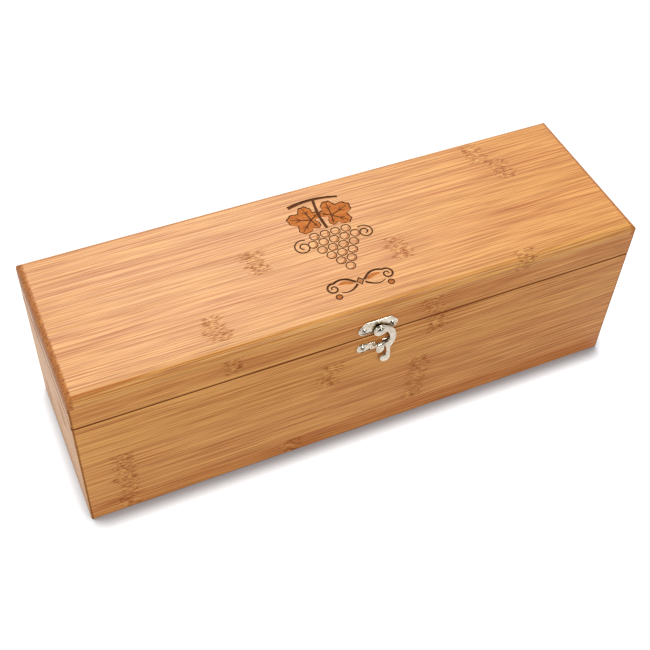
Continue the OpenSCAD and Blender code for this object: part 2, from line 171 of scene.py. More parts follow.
class MetalSettings(bpy.types.PropertyGroup):
    """The hinges, the catch and their screws"""
    nickel: colour("Nickel", "Plating of the catch and the hinges", srgb(240, 230, 212))
    tarnish: colour("Tarnish", "Plating where it is dull", srgb(172, 156, 132))
    steel: colour("Steel", "Zinc-plated pins and screws", srgb(204, 203, 200))
    plate_edge: length("Plate edge", "Rounding of the catch plates' edges", 0.7 * MM)
    tongue_edge: length("Tongue edge", "Rounding of the keeper's bent tongue", 0.35 * MM)
    lever_edge: length("Lever edge", "Rounding of the cast lever's edges", 0.8 * MM)
    rim_w: length("Plate rim", "Width of the raised rim round a catch plate", 0.95 * MM)
    field_d: length("Plate field", "Depth of the sunk field inside a plate's rim", 0.4 * MM)
    hinge_edge: length("Hinge edge", "Rounding of the hinge leaves' edges", 0.12 * MM)
    crown: length("Head crown", "Height that a catch screw's head is domed", 0.8 * MM)
    thread_pitch: length("Thread pitch", "Distance between two turns of a thread", 0.9 * MM)
    recess_w: length("Cross width", "Width of the cross in a screw head", 0.5 * MM)
    recess_d: length("Cross depth", "Depth of the cross in a screw head", 0.6 * MM)
    spin_seed: IntProperty(name="Screw turn", description="Seed of how far each screw is turned",
                           default=3, min=0)


class StageSettings(bpy.types.PropertyGroup):
    """The camera, the floor and the lamps"""
    camera: FloatVectorProperty(name="Camera", description="Place of the camera", size=3,
                                default=(-0.2131, -0.4203, 0.5880), subtype="XYZ", unit="LENGTH")
    target: FloatVectorProperty(name="Target", description="Point at the picture's middle",
                                size=3, default=(-0.0101, -0.0126, 0.0600), subtype="XYZ",
                                unit="LENGTH")
    roll: FloatProperty(name="Roll", description="How far the camera is tilted to its left",
                        default=math.radians(3.32), subtype="ANGLE")
    lens: FloatProperty(name="Lens", description="Focal length of the camera, in millimetres",
                        default=61.5, min=10.0, max=300.0)
    floor: colour("Floor", "Colour of the floor", srgb(188, 192, 198))
    glow: share("Floor glow", "Light that the floor adds towards the camera", 0.85, 2.0)
    contact: length("Contact shadow", "Reach of the shadow where the box meets the floor",
                    14 * MM)
    sky: share("Sky", "Level of the light from all sides", 0.46, 2.0)
    dark_card: share("Dark card", "Level of the dark card in front, as the metal shows it", 0.06)
    shadow_lean: FloatVectorProperty(
        name="Shadow lean", description="Direction in which the contact shadow looks for the box",
        size=3, default=(-0.22, 0.6, 1.0), subtype="XYZ")
    key: FloatProperty(name="Key lamp", description="Power of the lamp behind", default=9.1,
                       min=0.0, unit="POWER")
    fill: FloatProperty(name="Fill lamp", description="Power of the lamp in front", default=8.2,
                        min=0.0, unit="POWER")
    side: FloatProperty(name="Side lamp", description="Power of the lamp on the left",
                        default=1.1, min=0.0, unit="POWER")


# Where each lamp stands, and how wide and high it is, in metres
Lamp = namedtuple("Lamp", "place width height")
LAMPS = {
    "key": Lamp((0.15, 0.85, 1.08), 0.8, 0.45),
    "fill": Lamp((0.54, -1.5, 1.04), 0.5, 0.5),
    "side": Lamp((-0.75, -0.5, 0.5), 0.3, 0.3),
}
# The way to the middle of the dark card in front, and the cosines to it between which the
# card fades in
CARD = Vector((-0.2, -0.85, 0.45)).normalized()
CARD_FADE = (0.2, 0.7)
FLOOR_SIZE = 6.0
# The shares of open air round a point between which the contact shadow fades out
SHADOW_FADE = (0.40, 0.88)
# In what the metal mirrors, the floor goes from the dark card's level to white between these
# places along Y
MIRRORED_FADE = (-0.33, -0.03)

SETTINGS = {
    "box_bamboo": BambooSettings,
    "box_ornament": OrnamentSettings,
    "box_metal": MetalSettings,
    "box_stage": StageSettings,
}


# ---- the strips that each board is glued up from ----

# edge is the strip's lower edge across the board and node the place of its node mark along
# it, in millimetres; tone runs from pale to deep and tint from pink to yellow. A board's grain,
# across and through are the axes that its fibres, its strips and its thickness follow, and lean
# is painted shade, as if the light fell off to the right: how much deeper its strips are at the
# right end than in the middle
Strip = namedtuple("Strip", "edge tone tint node second", defaults=(None,))
Board = namedtuple("Board", "grain across through strips gloss end_grain lean",
                   defaults=(0.28, False, 0.0))

TOP_STRIPS = [
    Strip(-55, 0.45, 0.85, 101), Strip(-46, 0.35, 0.45, -90), Strip(-26.5, 0.45, 0.30, 34),
    Strip(-7, 0.40, 0.60, -51), Strip(12.5, 0.52, 0.40, 126), Strip(32, 0.42, 0.60, 117.5),
    Strip(51.5, 0.60, 0.45, None),
]
FRONT_STRIPS = [
    Strip(0, 0.95, 0.15, -155, -50), Strip(13.7, 0.55, 0.45, -155, 35),
    Strip(36.2, 0.60, 0.40, -155, 35), Strip(56.2, 0.42, 0.70, -26),
    Strip(75.7, 0.52, 0.60, 44), Strip(96.2, 0.76, 0.40, -86, 39),
]
BACK_STRIPS = [
    Strip(0, 0.60, 0.40, 70), Strip(16, 0.45, 0.60, -120, 128), Strip(36, 0.55, 0.35, 20),
    Strip(56, 0.40, 0.55, -60), Strip(76, 0.58, 0.60, 150, -104), Strip(96, 0.50, 0.40, 12),
]
LEFT_STRIPS = [
    Strip(0, 0.55, 0.80, None), Strip(13.7, 0.30, 0.90, 30), Strip(36.2, 0.20, 0.80, None),
    Strip(56.2, 0.38, 0.95, -22), Strip(75.7, 0.28, 0.80, None), Strip(96.2, 0.20, 0.90, 14),
]
RIGHT_STRIPS = [
    Strip(0, 0.60, 0.50, 18), Strip(13.7, 0.50, 0.35, None), Strip(36.2, 0.45, 0.60, -36),
    Strip(56.2, 0.60, 0.45, None), Strip(75.7, 0.40, 0.60, 6), Strip(96.2, 0.55, 0.40, None),
]
FLOOR_STRIPS = [
    Strip(-55, 0.50, 0.50, 88), Strip(-40, 0.40, 0.60, -64), Strip(-20, 0.60, 0.40, 20),
    Strip(0, 0.45, 0.55, 140, -150), Strip(20, 0.55, 0.35, -96), Strip(40, 0.40, 0.50, 52),
]
REST_STRIPS = [Strip(0, 0.45, 0.55, 22), Strip(20, 0.60, 0.40, None), Strip(40, 0.50, 0.60, -30)]

BOARDS = {
    "top": Board("X", "Y", "Z", TOP_STRIPS, gloss=0.45, end_grain=True),
    # The front's lean is painted shade: its strips deepen towards the right end as if the light
    # fell off there
    "front": Board("X", "Z", "Y", FRONT_STRIPS, lean=0.25),
    "back": Board("X", "Z", "Y", BACK_STRIPS),
    "left": Board("Y", "Z", "X", LEFT_STRIPS),
    "right": Board("Y", "Z", "X", RIGHT_STRIPS),
    "floor": Board("X", "Y", "Z", FLOOR_STRIPS),
    "rest": Board("Y", "Z", "X", REST_STRIPS),
}
AXES = {"X": (1, 0, 0), "Y": (0, 1, 0), "Z": (0, 0, 1)}
# A strip without a node mark has it this far away, in millimetres, off every board
NODE_REACH = 260
# Half the width of the glue line between two strips, in millimetres
GLUE_LINE = 0.18


# ---- making node trees ----

class Graph:
    """Adds nodes to a tree. A value may be a socket, which is linked, or a plain value."""

    def __init__(self, tree):
        self.tree = tree

    def add(self, kind, values=None, **settings):
        node = self.tree.nodes.new(kind)
        for key, value in settings.items():
            setattr(node, key, value)
        for key, value in (values or {}).items():
            if isinstance(value, bpy.types.NodeSocket):
                self.tree.links.new(value, node.inputs[key])
            elif value is not None:
                node.inputs[key].default_value = value
        return node

    def math(self, operation, *values, clamp=False):
        node = self.add("ShaderNodeMath", dict(enumerate(values)), operation=operation,
                        use_clamp=clamp)
        return node.outputs[0]

    def vector(self, operation, *values):
        node = self.add("ShaderNodeVectorMath", dict(enumerate(values)), operation=operation)
        return node.outputs["Value" if operation in ("DOT_PRODUCT", "LENGTH") else "Vector"]

    def combine(self, x=0.0, y=0.0, z=0.0):
        return self.add("ShaderNodeCombineXYZ", {0: x, 1: y, 2: z}).outputs[0]

    def separate(self, vector):
        return self.add("ShaderNodeSeparateXYZ", {0: vector}).outputs

    def span(self, value, low, high, to_low=0.0, to_high=1.0, smooth=False):
        """The value's place between low and high, kept between to_low and to_high."""
        node = self.add("ShaderNodeMapRange", {0: value, 1: low, 2: high, 3: to_low, 4: to_high},
                        interpolation_type="SMOOTHSTEP" if smooth else "LINEAR")
        return node.outputs[0]

    def noise(self, place, stretch, detail=2.0, roughness=0.5):
        """Noise of 0 to 1 whose grains are stretched by a vector of grains a millimetre."""
        scaled = self.vector("MULTIPLY", place, stretch)
        node = self.add("ShaderNodeTexNoise", {
            "Vector": scaled, "Scale": 1.0, "Detail": detail, "Roughness": roughness})
        return node.outputs[0]

    def millimetres(self):
        """The place on the piece, in millimetres."""
        metres = self.add("ShaderNodeTexCoord").outputs["Object"]
        return self.vector("MULTIPLY", metres, (1 / MM,) * 3)

    def mix(self, factor, a, b, blend="MIX"):
        node = self.add("ShaderNodeMix", {0: factor, 6: a, 7: b}, data_type="RGBA",
                        blend_type=blend)
        return node.outputs[2]


SOCKETS = {"value": "NodeSocketFloat", "vector": "NodeSocketVector", "colour": "NodeSocketColor"}


def shader_group(name, takes, gives):
    """A new shader group with its own graph; takes and gives are {socket name: kind}."""
    tree = bpy.data.node_groups.new(name, "ShaderNodeTree")
    for label, kind in takes.items():
        tree.interface.new_socket(label, in_out="INPUT", socket_type=SOCKETS[kind])
    for label, kind in gives.items():
        tree.interface.new_socket(label, in_out="OUTPUT", socket_type=SOCKETS[kind])
    given = tree.nodes.new("NodeGroupInput").outputs
    made = tree.nodes.new("NodeGroupOutput").inputs
    return Graph(tree), given, made


def rgba(value):
    return (*value, 1.0)


# ---- bamboo ----

# The parts of a node mark, in millimetres from its middle: where the core and the halo fade
# from full to nothing, where the dark lip runs, and how far from there the lip fades
NODE_CORE = (3.5, 8.0)
NODE_HALO = (3.0, 26.0)
NODE_LIP = 5.0
LIP_FADE = (0.3, 2.4)
# About how long one zigzag of the fibres past a node is, in millimetres
ZIGZAG = 4.2


def grain_group():
    """Bamboo in board coordinates, in millimetres: X along the fibres, Y across the strips."""
    name = "bamboo_grain"
    if name in bpy.data.node_groups:
        return bpy.data.node_groups[name]
    graph, given, made = shader_group(name, {
        "Place": "vector", "Tone": "value", "Tint": "value", "Node": "value", "Second": "value",
        "Lean": "value", "Glue": "value", "Seam": "value", "End cut": "value", "Pale": "colour",
        "Deep": "colour", "Knuckle": "colour", "End pale": "colour", "End dark": "colour",
        "Joint": "colour",
    }, {"Color": "colour", "Roughness": "value", "Height": "value"})
    # Each strip has fibres of its own, so its tone also picks another part of the noise
    own = graph.combine(graph.math("MULTIPLY", given["Tone"], 9130.0), 0.0,
                        graph.math("MULTIPLY", given["Tint"], 517.0))
    place = graph.vector("ADD", given["Place"], own)
    along = graph.separate(given["Place"])[0]

    # A node mark is an uneven band across the strip, darker at its two edges, with a faint halo
    meander = graph.math("MULTIPLY_ADD", graph.noise(place, (0.02, 0.2, 0.2), 3.0, 0.7), 22.0,
                         -11.0)
    distance = graph.math("MINIMUM", *(
        graph.math("ABSOLUTE", graph.math("ADD", graph.math("SUBTRACT", along, given[label]),
                                          meander))
        for label in ("Node", "Second")))
    core = graph.span(distance, *NODE_CORE, 1.0, 0.0, smooth=True)
    halo = graph.span(distance, *NODE_HALO, 1.0, 0.0, smooth=True)
    off_lip = graph.math("ABSOLUTE", graph.math("SUBTRACT", distance, NODE_LIP))
    lip = graph.span(off_lip, *LIP_FADE, 1.0, 0.0, smooth=True)

    # The fibres drift a little, and run in a zigzag where they pass a node
    drift = graph.math("MULTIPLY_ADD", graph.noise(place, (0.008, 0.04, 0.04), 1.0), 2.4, -1.2)
    phase = graph.math("MULTIPLY_ADD", graph.noise(place, (0.2, 0.25, 0.25), 1.0), 2.5,
                       graph.math("DIVIDE", along, ZIGZAG))
    zigzag = graph.math("SINE", graph.math("MULTIPLY", phase, 2 * math.pi))
    swerve = graph.math("MULTIPLY_ADD", graph.noise(place, (0.07, 0.1, 0.1), 1.0), 2.4, -1.2)
    swerve = graph.math("MULTIPLY_ADD", zigzag, 0.24, swerve)
    shift = graph.math("MULTIPLY_ADD", core, swerve, drift)
    bent = graph.vector("ADD", place, graph.combine(0.0, shift, 0.0))

    # The layers of the grain, from broad bands to hairlines and the dashes inside a node mark
    streak = graph.span(graph.noise(bent, (0.007, 0.85, 0.85), 2.0, 0.75), 0.37, 0.63)
    fine = graph.span(graph.noise(bent, (0.02, 1.6, 1.6), 1.0, 0.6), 0.36, 0.64)
    band = graph.span(graph.noise(bent, (0.003, 0.2, 0.2), 1.0), 0.3, 0.7)
    hair = graph.span(graph.noise(bent, (0.03, 1.6, 1.6), 2.0, 0.6), 0.56, 0.68)
    dashes = graph.span(graph.noise(bent, (0.26, 1.7, 1.7), 1.0, 0.5), 0.42, 0.58)
    patch = graph.span(graph.noise(place, (0.14, 0.18, 0.18), 2.0), 0.40, 0.62)

    # How deep the wood's colour is: each layer with its weight
    depth = 0.0
    # The lean adds painted shade that deepens along the board towards its right end
    tone = graph.math("ADD", given["Tone"], given["Lean"])
    for layer, weight in ((streak, 0.52), (band, 0.16), (fine, 0.80), (tone, 0.60),
                          (halo, 0.12)):
        depth = graph.math("MULTIPLY_ADD", layer, weight, depth)
    depth = graph.math("MULTIPLY_ADD", graph.math("MULTIPLY", core, 1.1),
                       graph.math("SUBTRACT", dashes, 0.5), depth)
    wood = graph.mix(graph.math("SUBTRACT", depth, 0.60, clamp=True), given["Pale"], given["Deep"])
    marked = graph.math("MULTIPLY_ADD", patch, 0.24, 0.22)
    marked = graph.math("MULTIPLY", marked, graph.math("MULTIPLY_ADD", dashes, 0.85, 0.15))
    marked = graph.math("MULTIPLY", marked, core)
    marked = graph.math("MULTIPLY_ADD", graph.math("MULTIPLY", lip, dashes), 0.12, marked,
                        clamp=True)
    wood = graph.mix(marked, wood, given["Knuckle"])
    wood = graph.mix(graph.math("MULTIPLY", hair, 0.42), wood, given["Knuckle"])
    hue = graph.mix(given["Tint"], rgba((1.02, 0.975, 0.98)), rgba((0.985, 1.02, 0.87)))
    wood = graph.mix(1.0, wood, hue, "MULTIPLY")
    # A glue line between two strips comes and goes along its length
    faded = graph.span(graph.noise(place, (0.02, 0.0, 0.0), 1.0), 0.35, 0.65, 0.1, 0.65)
    glued = graph.math("MULTIPLY", given["Glue"], faded)
    wood = graph.mix(glued, wood, given["Knuckle"])
    speckle = graph.span(graph.noise(place, (0.35, 1.3, 1.3), 2.0, 0.7), 0.36, 0.62)
    end = graph.mix(speckle, given["End pale"], given["End dark"])
    wood = graph.mix(graph.math("MULTIPLY", given["End cut"], 0.9), wood, end)
    # Seam paints shade in the joint colour over the seam and under the top's ends, and dark joint
    # lines at the mitres
    wood = graph.mix(given["Seam"], wood, given["Joint"])
    graph.tree.links.new(wood, made["Color"])

    # The marks and the cut ends are duller than the lacquered fibres
    rough = graph.math("MULTIPLY_ADD", streak, 0.10, 0.36)
    rough = graph.math("MULTIPLY_ADD", marked, 0.5, rough)
    rough = graph.math("MULTIPLY_ADD", given["End cut"], 0.12, rough)
    rough = graph.math("MULTIPLY_ADD", given["Seam"], 0.4, rough)
    graph.tree.links.new(rough, made["Roughness"])

    # Streaks and marks stand proud, hairlines and glue lines lie low
    height = graph.math("MULTIPLY_ADD", hair, -0.5, graph.math("MULTIPLY", streak, 0.5))
    height = graph.math("MULTIPLY_ADD", marked, 0.5, height)
    height = graph.math("MULTIPLY_ADD", given["Glue"], -0.5, height)
    graph.tree.links.new(height, made["Height"])
    return graph.tree


def strip_table(graph, across, strips, high):
    """Looks up the strip that a point lies in: its tone, tint and the places of its nodes."""
    low = strips[0].edge
    ramp = graph.add("ShaderNodeValToRGB", {0: graph.span(across, low, high)})
    ramp.color_ramp.interpolation = "CONSTANT"
    elements = ramp.color_ramp.elements
    while len(elements) < len(strips):
        elements.new(1.0)
    for element, strip in zip(elements, strips):
        element.position = (strip.edge - low) / (high - low)
        places = (NODE_REACH if node is None else node for node in (strip.node, strip.second))
        first, second = ((place + NODE_REACH) / (2 * NODE_REACH) for place in places)
        element.color = (strip.tone, strip.tint, first, second)
    channels = graph.add("ShaderNodeSeparateColor", {0: ramp.outputs["Color"]}).outputs
    nodes = (graph.math("MULTIPLY_ADD", share_of_reach, 2.0 * NODE_REACH, -NODE_REACH)
             for share_of_reach in (channels[2], ramp.outputs["Alpha"]))
    return (channels[0], channels[1], *nodes)


# The painted shade over the seam and under the top's ends runs in from the outside face, and a
# mitre's dark joint line from the corner, in millimetres: the wood is clean at the first figure and
# dark at the second
FACE_SHADE_FADE = (1.2, 0.6)
MITRE_STAIN = (1.6, 1.0)


def seam_shade_and_joint_lines(graph, board, metres, through, along, look):
    """Dark lines outside: painted shade over the seam and under the top's ends, and a dark joint
    line at a long board's mitres.
    """
    if board.across != "Z":
        return 0.0
    height = graph.separate(metres)[2]
    face = (HALF_WIDTH if board.through == "Y" else HALF_LENGTH) / MM
    outside = graph.span(graph.math("ABSOLUTE", through), *(face - d for d in FACE_SHADE_FADE))
    shade = look.seam_shade if board.grain == "X" else look.end_shade
    # Painted shade in the gap at the seam, on the lid's lower edge and on the case's rim
    over_rim = graph.span(height, LID_RIM + shade, LID_RIM + 0.6 * shade)
    under_rim = graph.span(height, CASE_RIM - 0.2 * shade, CASE_RIM)
    dark = graph.math("MULTIPLY", over_rim, under_rim)
    dark = graph.math("MULTIPLY", dark, outside)
    if board.grain == "X":
        mitre = graph.span(along, *(HALF_LENGTH / MM - d for d in MITRE_STAIN), 0.0, 0.7)
        return graph.math("MAXIMUM", dark, mitre)
    # Painted shadow under the overhang of the top's ends
    under_top = graph.span(height, LID_BASE - shade, LID_BASE - 0.6 * shade)
    under_top = graph.math("MULTIPLY", under_top, outside)
    return graph.math("MAXIMUM", dark, graph.math("MULTIPLY", under_top, 0.9))


def wire(graph, shader, values):
    """Links sockets to the shader's inputs, and sets plain values on them."""
    for label, value in values.items():
        if isinstance(value, bpy.types.NodeSocket):
            graph.tree.links.new(value, shader.inputs[label])
        else:
            shader.inputs[label].default_value = value


def bamboo_surface(graph, board, look):
    """The group node that holds a board's colour, roughness and height."""
    metres = graph.add("ShaderNodeTexCoord").outputs["Object"]
    grain, across, through = (
        graph.vector("DOT_PRODUCT", metres, tuple(axis / MM for axis in AXES[letter]))
        for letter in (board.grain, board.across, board.through))
    high = (HALF_WIDTH if board.across == "Y" else LID_TOP) / MM
    tone, tint, node, second = strip_table(graph, across, board.strips, high)
    # Painted shade: the strips deepen towards the board's right end and pale towards its left
    lean = graph.math("MULTIPLY", grain, board.lean * MM / HALF_LENGTH)
    glue = 0.0
    for strip in board.strips[1:]:
        glue = graph.math("MAXIMUM", glue, graph.math("COMPARE", across, strip.edge, GLUE_LINE))
    place = graph.combine(grain, across, through)
    along = graph.math("ABSOLUTE", grain)
    end_cut = 0.0
    if board.end_grain:
        ragged = graph.math("MULTIPLY_ADD", graph.noise(place, (0.1, 0.7, 0.7)), 1.6, -0.8)
        start = (HALF_LENGTH - 0.95 * look.top_round) / MM
        end_cut = graph.span(graph.math("ADD", along, ragged), start, start + 0.9)
    surface = graph.add("ShaderNodeGroup", node_tree=grain_group())
    values = {
        "Seam": seam_shade_and_joint_lines(graph, board, metres, through, along, look),
        "Place": place, "Tone": tone, "Tint": tint, "Node": node, "Second": second,
        "Lean": lean, "Glue": glue, "End cut": end_cut,
        "Pale": rgba(look.pale), "Deep": rgba(look.deep),
        "Knuckle": rgba(look.knuckle), "End pale": rgba(look.end_pale),
        "End dark": rgba(look.end_dark), "Joint": rgba(look.joint),
    }
    wire(graph, surface, values)
    return surface.outputs


def new_material(name):
    """An empty material with its graph, its shader and its output."""
    material = bpy.data.materials.new(name)
    material.use_nodes = True
    material.node_tree.nodes.clear()
    graph = Graph(material.node_tree)
    shader = graph.add("ShaderNodeBsdfPrincipled")
    graph.add("ShaderNodeOutputMaterial", {"Surface": shader.outputs[0]})
    return material, graph, shader


def bamboo_material(key):
    """Lacquered bamboo of one of the boards."""
    name = "bamboo_" + key
    if name in bpy.data.materials:
        return bpy.data.materials[name]
    look = bpy.context.scene.box_bamboo
    material, graph, shader = new_material(name)
    surface = bamboo_surface(graph, BOARDS[key], look)
    bump = graph.add("ShaderNodeBump", {
        "Strength": 0.5, "Distance": look.relief, "Height": surface["Height"]})
    wire(graph, shader, {
        "Base Color": surface["Color"], "Roughness": surface["Roughness"],
        "Normal": bump.outputs[0], "Specular IOR Level": BOARDS[key].gloss,
    })
    return material


def burnt_material(name, burn, strength):
    """Scorched bamboo: the top board's grain under a burn of uneven depth."""
    if name in bpy.data.materials:
        return bpy.data.materials[name]
    look = bpy.context.scene.box_bamboo
    material, graph, shader = new_material(name)
    surface = bamboo_surface(graph, BOARDS["top"], look)
    patches = graph.noise(graph.millimetres(), (0.5, 1.4, 1.4), 3.0, 0.6)
    uneven = graph.span(patches, 0.3, 0.7, strength, 1.0)
    scorched = graph.mix(1.0, surface["Color"], rgba(burn), "MULTIPLY")
    scorched = graph.mix(0.6, scorched, rgba(burn))
    bump = graph.add("ShaderNodeBump", {
        "Strength": 0.8, "Distance": 1.5 * look.relief, "Height": uneven})
    wire(graph, shader, {
        "Base Color": graph.mix(uneven, surface["Color"], scorched),
        "Roughness": graph.span(uneven, 0.0, 1.0, 0.9, 0.6),
        "Normal": bump.outputs[0], "Specular IOR Level": 0.1,
    })
    return material


# ---- metal ----

def plating_group():
    """Plated metal: dull clouds, fine scratches and small pits, from a place in millimetres."""
    name = "plating_wear"
    if name in bpy.data.node_groups:
        return bpy.data.node_groups[name]
    graph, given, made = shader_group(
        name, {"Place": "vector", "Bright": "colour", "Dull": "colour"},
        {"Color": "colour", "Roughness": "value", "Height": "value"})
    place = given["Place"]
    cloud = graph.span(graph.noise(place, (0.22, 0.22, 0.22), 3.0, 0.6), 0.35, 0.7)
    scratch = graph.span(graph.noise(place, (0.5, 6.0, 6.0), 2.0, 0.7), 0.60, 0.70)
    pit = graph.span(graph.noise(place, (1.6, 1.6, 1.6), 2.0), 0.62, 0.72)
    dull = graph.math("MAXIMUM", graph.math("MULTIPLY", cloud, 0.6),
                      graph.math("MULTIPLY", scratch, 0.5))
    graph.tree.links.new(graph.mix(dull, given["Bright"], given["Dull"]), made["Color"])
    rough = graph.math("MULTIPLY_ADD", cloud, 0.12, 0.08)
    graph.tree.links.new(graph.math("MULTIPLY_ADD", scratch, 0.08, rough), made["Roughness"])
    height = graph.math("ADD", graph.math("MULTIPLY", scratch, -0.3),
                        graph.math("MULTIPLY", pit, -0.7))
    graph.tree.links.new(height, made["Height"])
    return graph.tree


def metal_material(name, bright, dull):
    """Plated metal between its bright and its dull colour."""
    if name in bpy.data.materials:
        return bpy.data.materials[name]
    material, graph, shader = new_material(name)
    wear = graph.add("ShaderNodeGroup", node_tree=plating_group())
    wire(graph, wear, {
        "Place": graph.millimetres(), "Bright": rgba(bright), "Dull": rgba(dull),
    })
    bump = graph.add("ShaderNodeBump", {
        "Strength": 0.4, "Distance": 0.02 * MM, "Height": wear.outputs["Height"]})
    wire(graph, shader, {
        "Base Color": wear.outputs["Color"], "Roughness": wear.outputs["Roughness"],
        "Metallic": 1.0, "Normal": bump.outputs[0],
    })
    return material


def nickel_material():
    look = bpy.context.scene.box_metal
    return metal_material("nickel_plate", look.nickel, look.tarnish)


def steel_material():
    look = bpy.context.scene.box_metal
    return metal_material("zinc_steel", look.steel, look.tarnish)


# ---- pieces made from the construction's own solids ----

def link(name, mesh):
    """A new object at the origin that holds the mesh."""
    piece = bpy.data.objects.new(name, mesh)
    bpy.context.scene.collection.objects.link(piece)
    return piece


def merged_solid(node):
    """The node's solid with its triangles joined and its flat faces made whole."""
    solid = bmesh.new()
    solid.from_mesh(frame["nodes"][node].data)
    bmesh.ops.remove_doubles(solid, verts=solid.verts, dist=1e-6)
    bmesh.ops.dissolve_limit(solid, angle_limit=math.radians(0.5), verts=solid.verts,
                             edges=solid.edges)
    for layers in (solid.loops.layers.float_vector, solid.loops.layers.int):
        for name in layers.keys():
            layers.remove(layers[name])
    return solid


# An edge is rounded where its faces turn by more than the first, and a finished piece is
# shaded smooth where they turn by less than the second
SHARP_EDGE = math.radians(32)
SMOOTH_EDGE = math.radians(35)


def edged_copy(node, name, edge_width, material, segments=3, slide=True):
    """A copy of a node whose edges are rounded; edge_width gives an edge's rounding. Round a
    tight bend, slide has to be off: with it on, a rounded edge can leap off the bend."""
    solid = merged_solid(node)
    weight = solid.edges.layers.float.new("bevel_weight_edge")
    widths = {}
    for edge in solid.edges:
        if len(edge.link_faces) == 2 and edge.calc_face_angle() > SHARP_EDGE:
            widths[edge] = edge_width(edge)
    widest = max(widths.values(), default=0.0)
    for edge, width in widths.items():
        edge[weight] = width / widest if widest else 0.0
    mesh = bpy.data.meshes.new(name)
    solid.to_mesh(mesh)
    solid.free()
    if "custom_normal" in mesh.attributes:
        mesh.attributes.remove(mesh.attributes["custom_normal"])
    mesh.materials.clear()
    mesh.materials.append(material)
    piece = link(name, mesh)
    if widest:
        bevel = piece.modifiers.new("edges", "BEVEL")
        bevel.limit_method = "WEIGHT"
        bevel.width = widest
        bevel.segments = segments
        bevel.use_clamp_overlap = False
        bevel.miter_outer = "MITER_ARC"
        bevel.loop_slide = slide
    settle(piece)
    return piece


def apply_modifiers(piece):
    """Makes what the piece's modifiers show its own mesh."""
    bpy.context.view_layer.update()
    shown = bpy.context.evaluated_depsgraph_get()
    mesh = bpy.data.meshes.new_from_object(piece.evaluated_get(shown))
    piece.modifiers.clear()
    old = piece.data
    piece.data = mesh
    bpy.data.meshes.remove(old)
    mesh.name = piece.name


def settle(piece):
    """Applies the piece's modifiers and shades it smooth between its sharp edges."""
    apply_modifiers(piece)
    piece.data.shade_smooth()
    piece.data.set_sharp_from_angle(angle=SMOOTH_EDGE)


def flatten_normals(piece):
    """Keeps large flat faces flat beside their rounded edges."""
    weighted = piece.modifiers.new("normals", "WEIGHTED_NORMAL")
    weighted.keep_sharp = True
    weighted.weight = 100
    apply_modifiers(piece)


def stand_for(piece, node):
    """The piece rides on its node's body and replaces the node."""
    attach(piece, frame["nodes"][node]["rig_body"])
    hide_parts(node)


def even(width):
    """The same rounding for every edge."""
    return lambda edge: width


# Two places this close together are taken to be one
NEAR = 0.02 * MM
# An edge this close to one of the box's faces is an outside edge
OUTSIDE = 1.3 * MM
# A rim this close to the back is one that the hinges are let into
BACK_RIM = 9.5 * MM


def board_edge(look):
    """How far an edge of a board is rounded, from where it lies."""
    def width(edge):
        ends = [v.co for v in edge.verts]
        if all(abs(abs(p.x) - abs(p.y) - MITRE) < NEAR for p in ends):
            return look.joint_edge
        if all(abs(p.z - LID_BASE) < NEAR for p in ends):
            return look.joint_edge
        outside = all(abs(p.x) > HALF_LENGTH - OUTSIDE or abs(p.y) > HALF_WIDTH - OUTSIDE
                      for p in ends)
        if all(p.z < NEAR for p in ends):
            return look.foot_edge if outside else look.joint_edge
        if any(all(abs(p.z - rim) < NEAR for p in ends) for rim in (CASE_RIM, LID_RIM)):
            if any(p.y > HALF_WIDTH - BACK_RIM for p in ends):
                return look.joint_edge
            return look.rim_edge if outside else look.inner_edge
        return 0.0
    return width


def make_board(node, key, edges=None):
    """A bamboo board in a node's place, with a board's edges where it has no edges given."""
    look = bpy.context.scene.box_bamboo
    piece = edged_copy(node, node + "_board", edges or board_edge(look), bamboo_material(key))
    flatten_normals(piece)
    stand_for(piece, node)


# ---- the vine that is burnt into the lid ----

class Stencil:
    """Flat shapes that are cut into a face to one depth; place puts a drawn point at a level."""

    def __init__(self, levels, place):
        self.solid = bmesh.new()
        self.levels = levels
        self.place = place

    def rings(self, outline):
        """The outline's points at the cut's floor and outside the face."""
        return [[self.solid.verts.new(self.place(x, y, level)) for x, y in outline]
                for level in self.levels]

    def walls(self, low, high):
        for i in range(len(low)):
            self.solid.faces.new((low[i - 1], low[i], high[i], high[i - 1]))

    def patch(self, outline):
        """A shape that is cut all over."""
        low, high = self.rings(outline)
        self.walls(low, high)
        self.solid.faces.new(low)
        self.solid.faces.new(high)

    def hoop(self, outside, inside):
        """The band between two closed outlines with as many points."""
        outer, inner = self.rings(outside), self.rings(inside)
        self.walls(*outer)
        self.walls(*inner)
        for a, b in zip(outer, inner):
            for i in range(len(a)):
                self.solid.faces.new((a[i - 1], a[i], b[i], b[i - 1]))

    def mesh(self):
        bmesh.ops.recalc_face_normals(self.solid, faces=self.solid.faces)
        mesh = bpy.data.meshes.new("stencil")
        self.solid.to_mesh(mesh)
        self.solid.free()
        return mesh


def polar(centre, radius, turn):
    """The point at a radius from a centre, at an angle in degrees."""
    angle = math.radians(turn)
    return Vector((centre[0] + radius * math.cos(angle), centre[1] + radius * math.sin(angle)))


def circle(centre, radius, points=28):
    return [polar(centre, radius, 360 * i / points) for i in range(points)]


def stroke(path, width, tip=1.0):
    """The outline of a line along a path, whose width falls to a share of it at the tip."""
    left, right = [], []
    for i, point in enumerate(path):
        ahead = path[min(i + 1, len(path) - 1)] - path[max(i - 1, 0)]
        side = Vector((-ahead.y, ahead.x)).normalized()
        half = width / 2 * (1 + (tip - 1) * i / (len(path) - 1))
        left.append(point + side * half)
        right.append(point - side * half)
    return left + right[::-1]


def bent_line(start, lean, end, steps=12):
    """Points along an arched line from start to end that leans towards a third point."""
    start, lean, end = Vector(start), Vector(lean), Vector(end)
    return [start.lerp(lean, t / steps).lerp(lean.lerp(end, t / steps), t / steps)
            for t in range(steps + 1)]


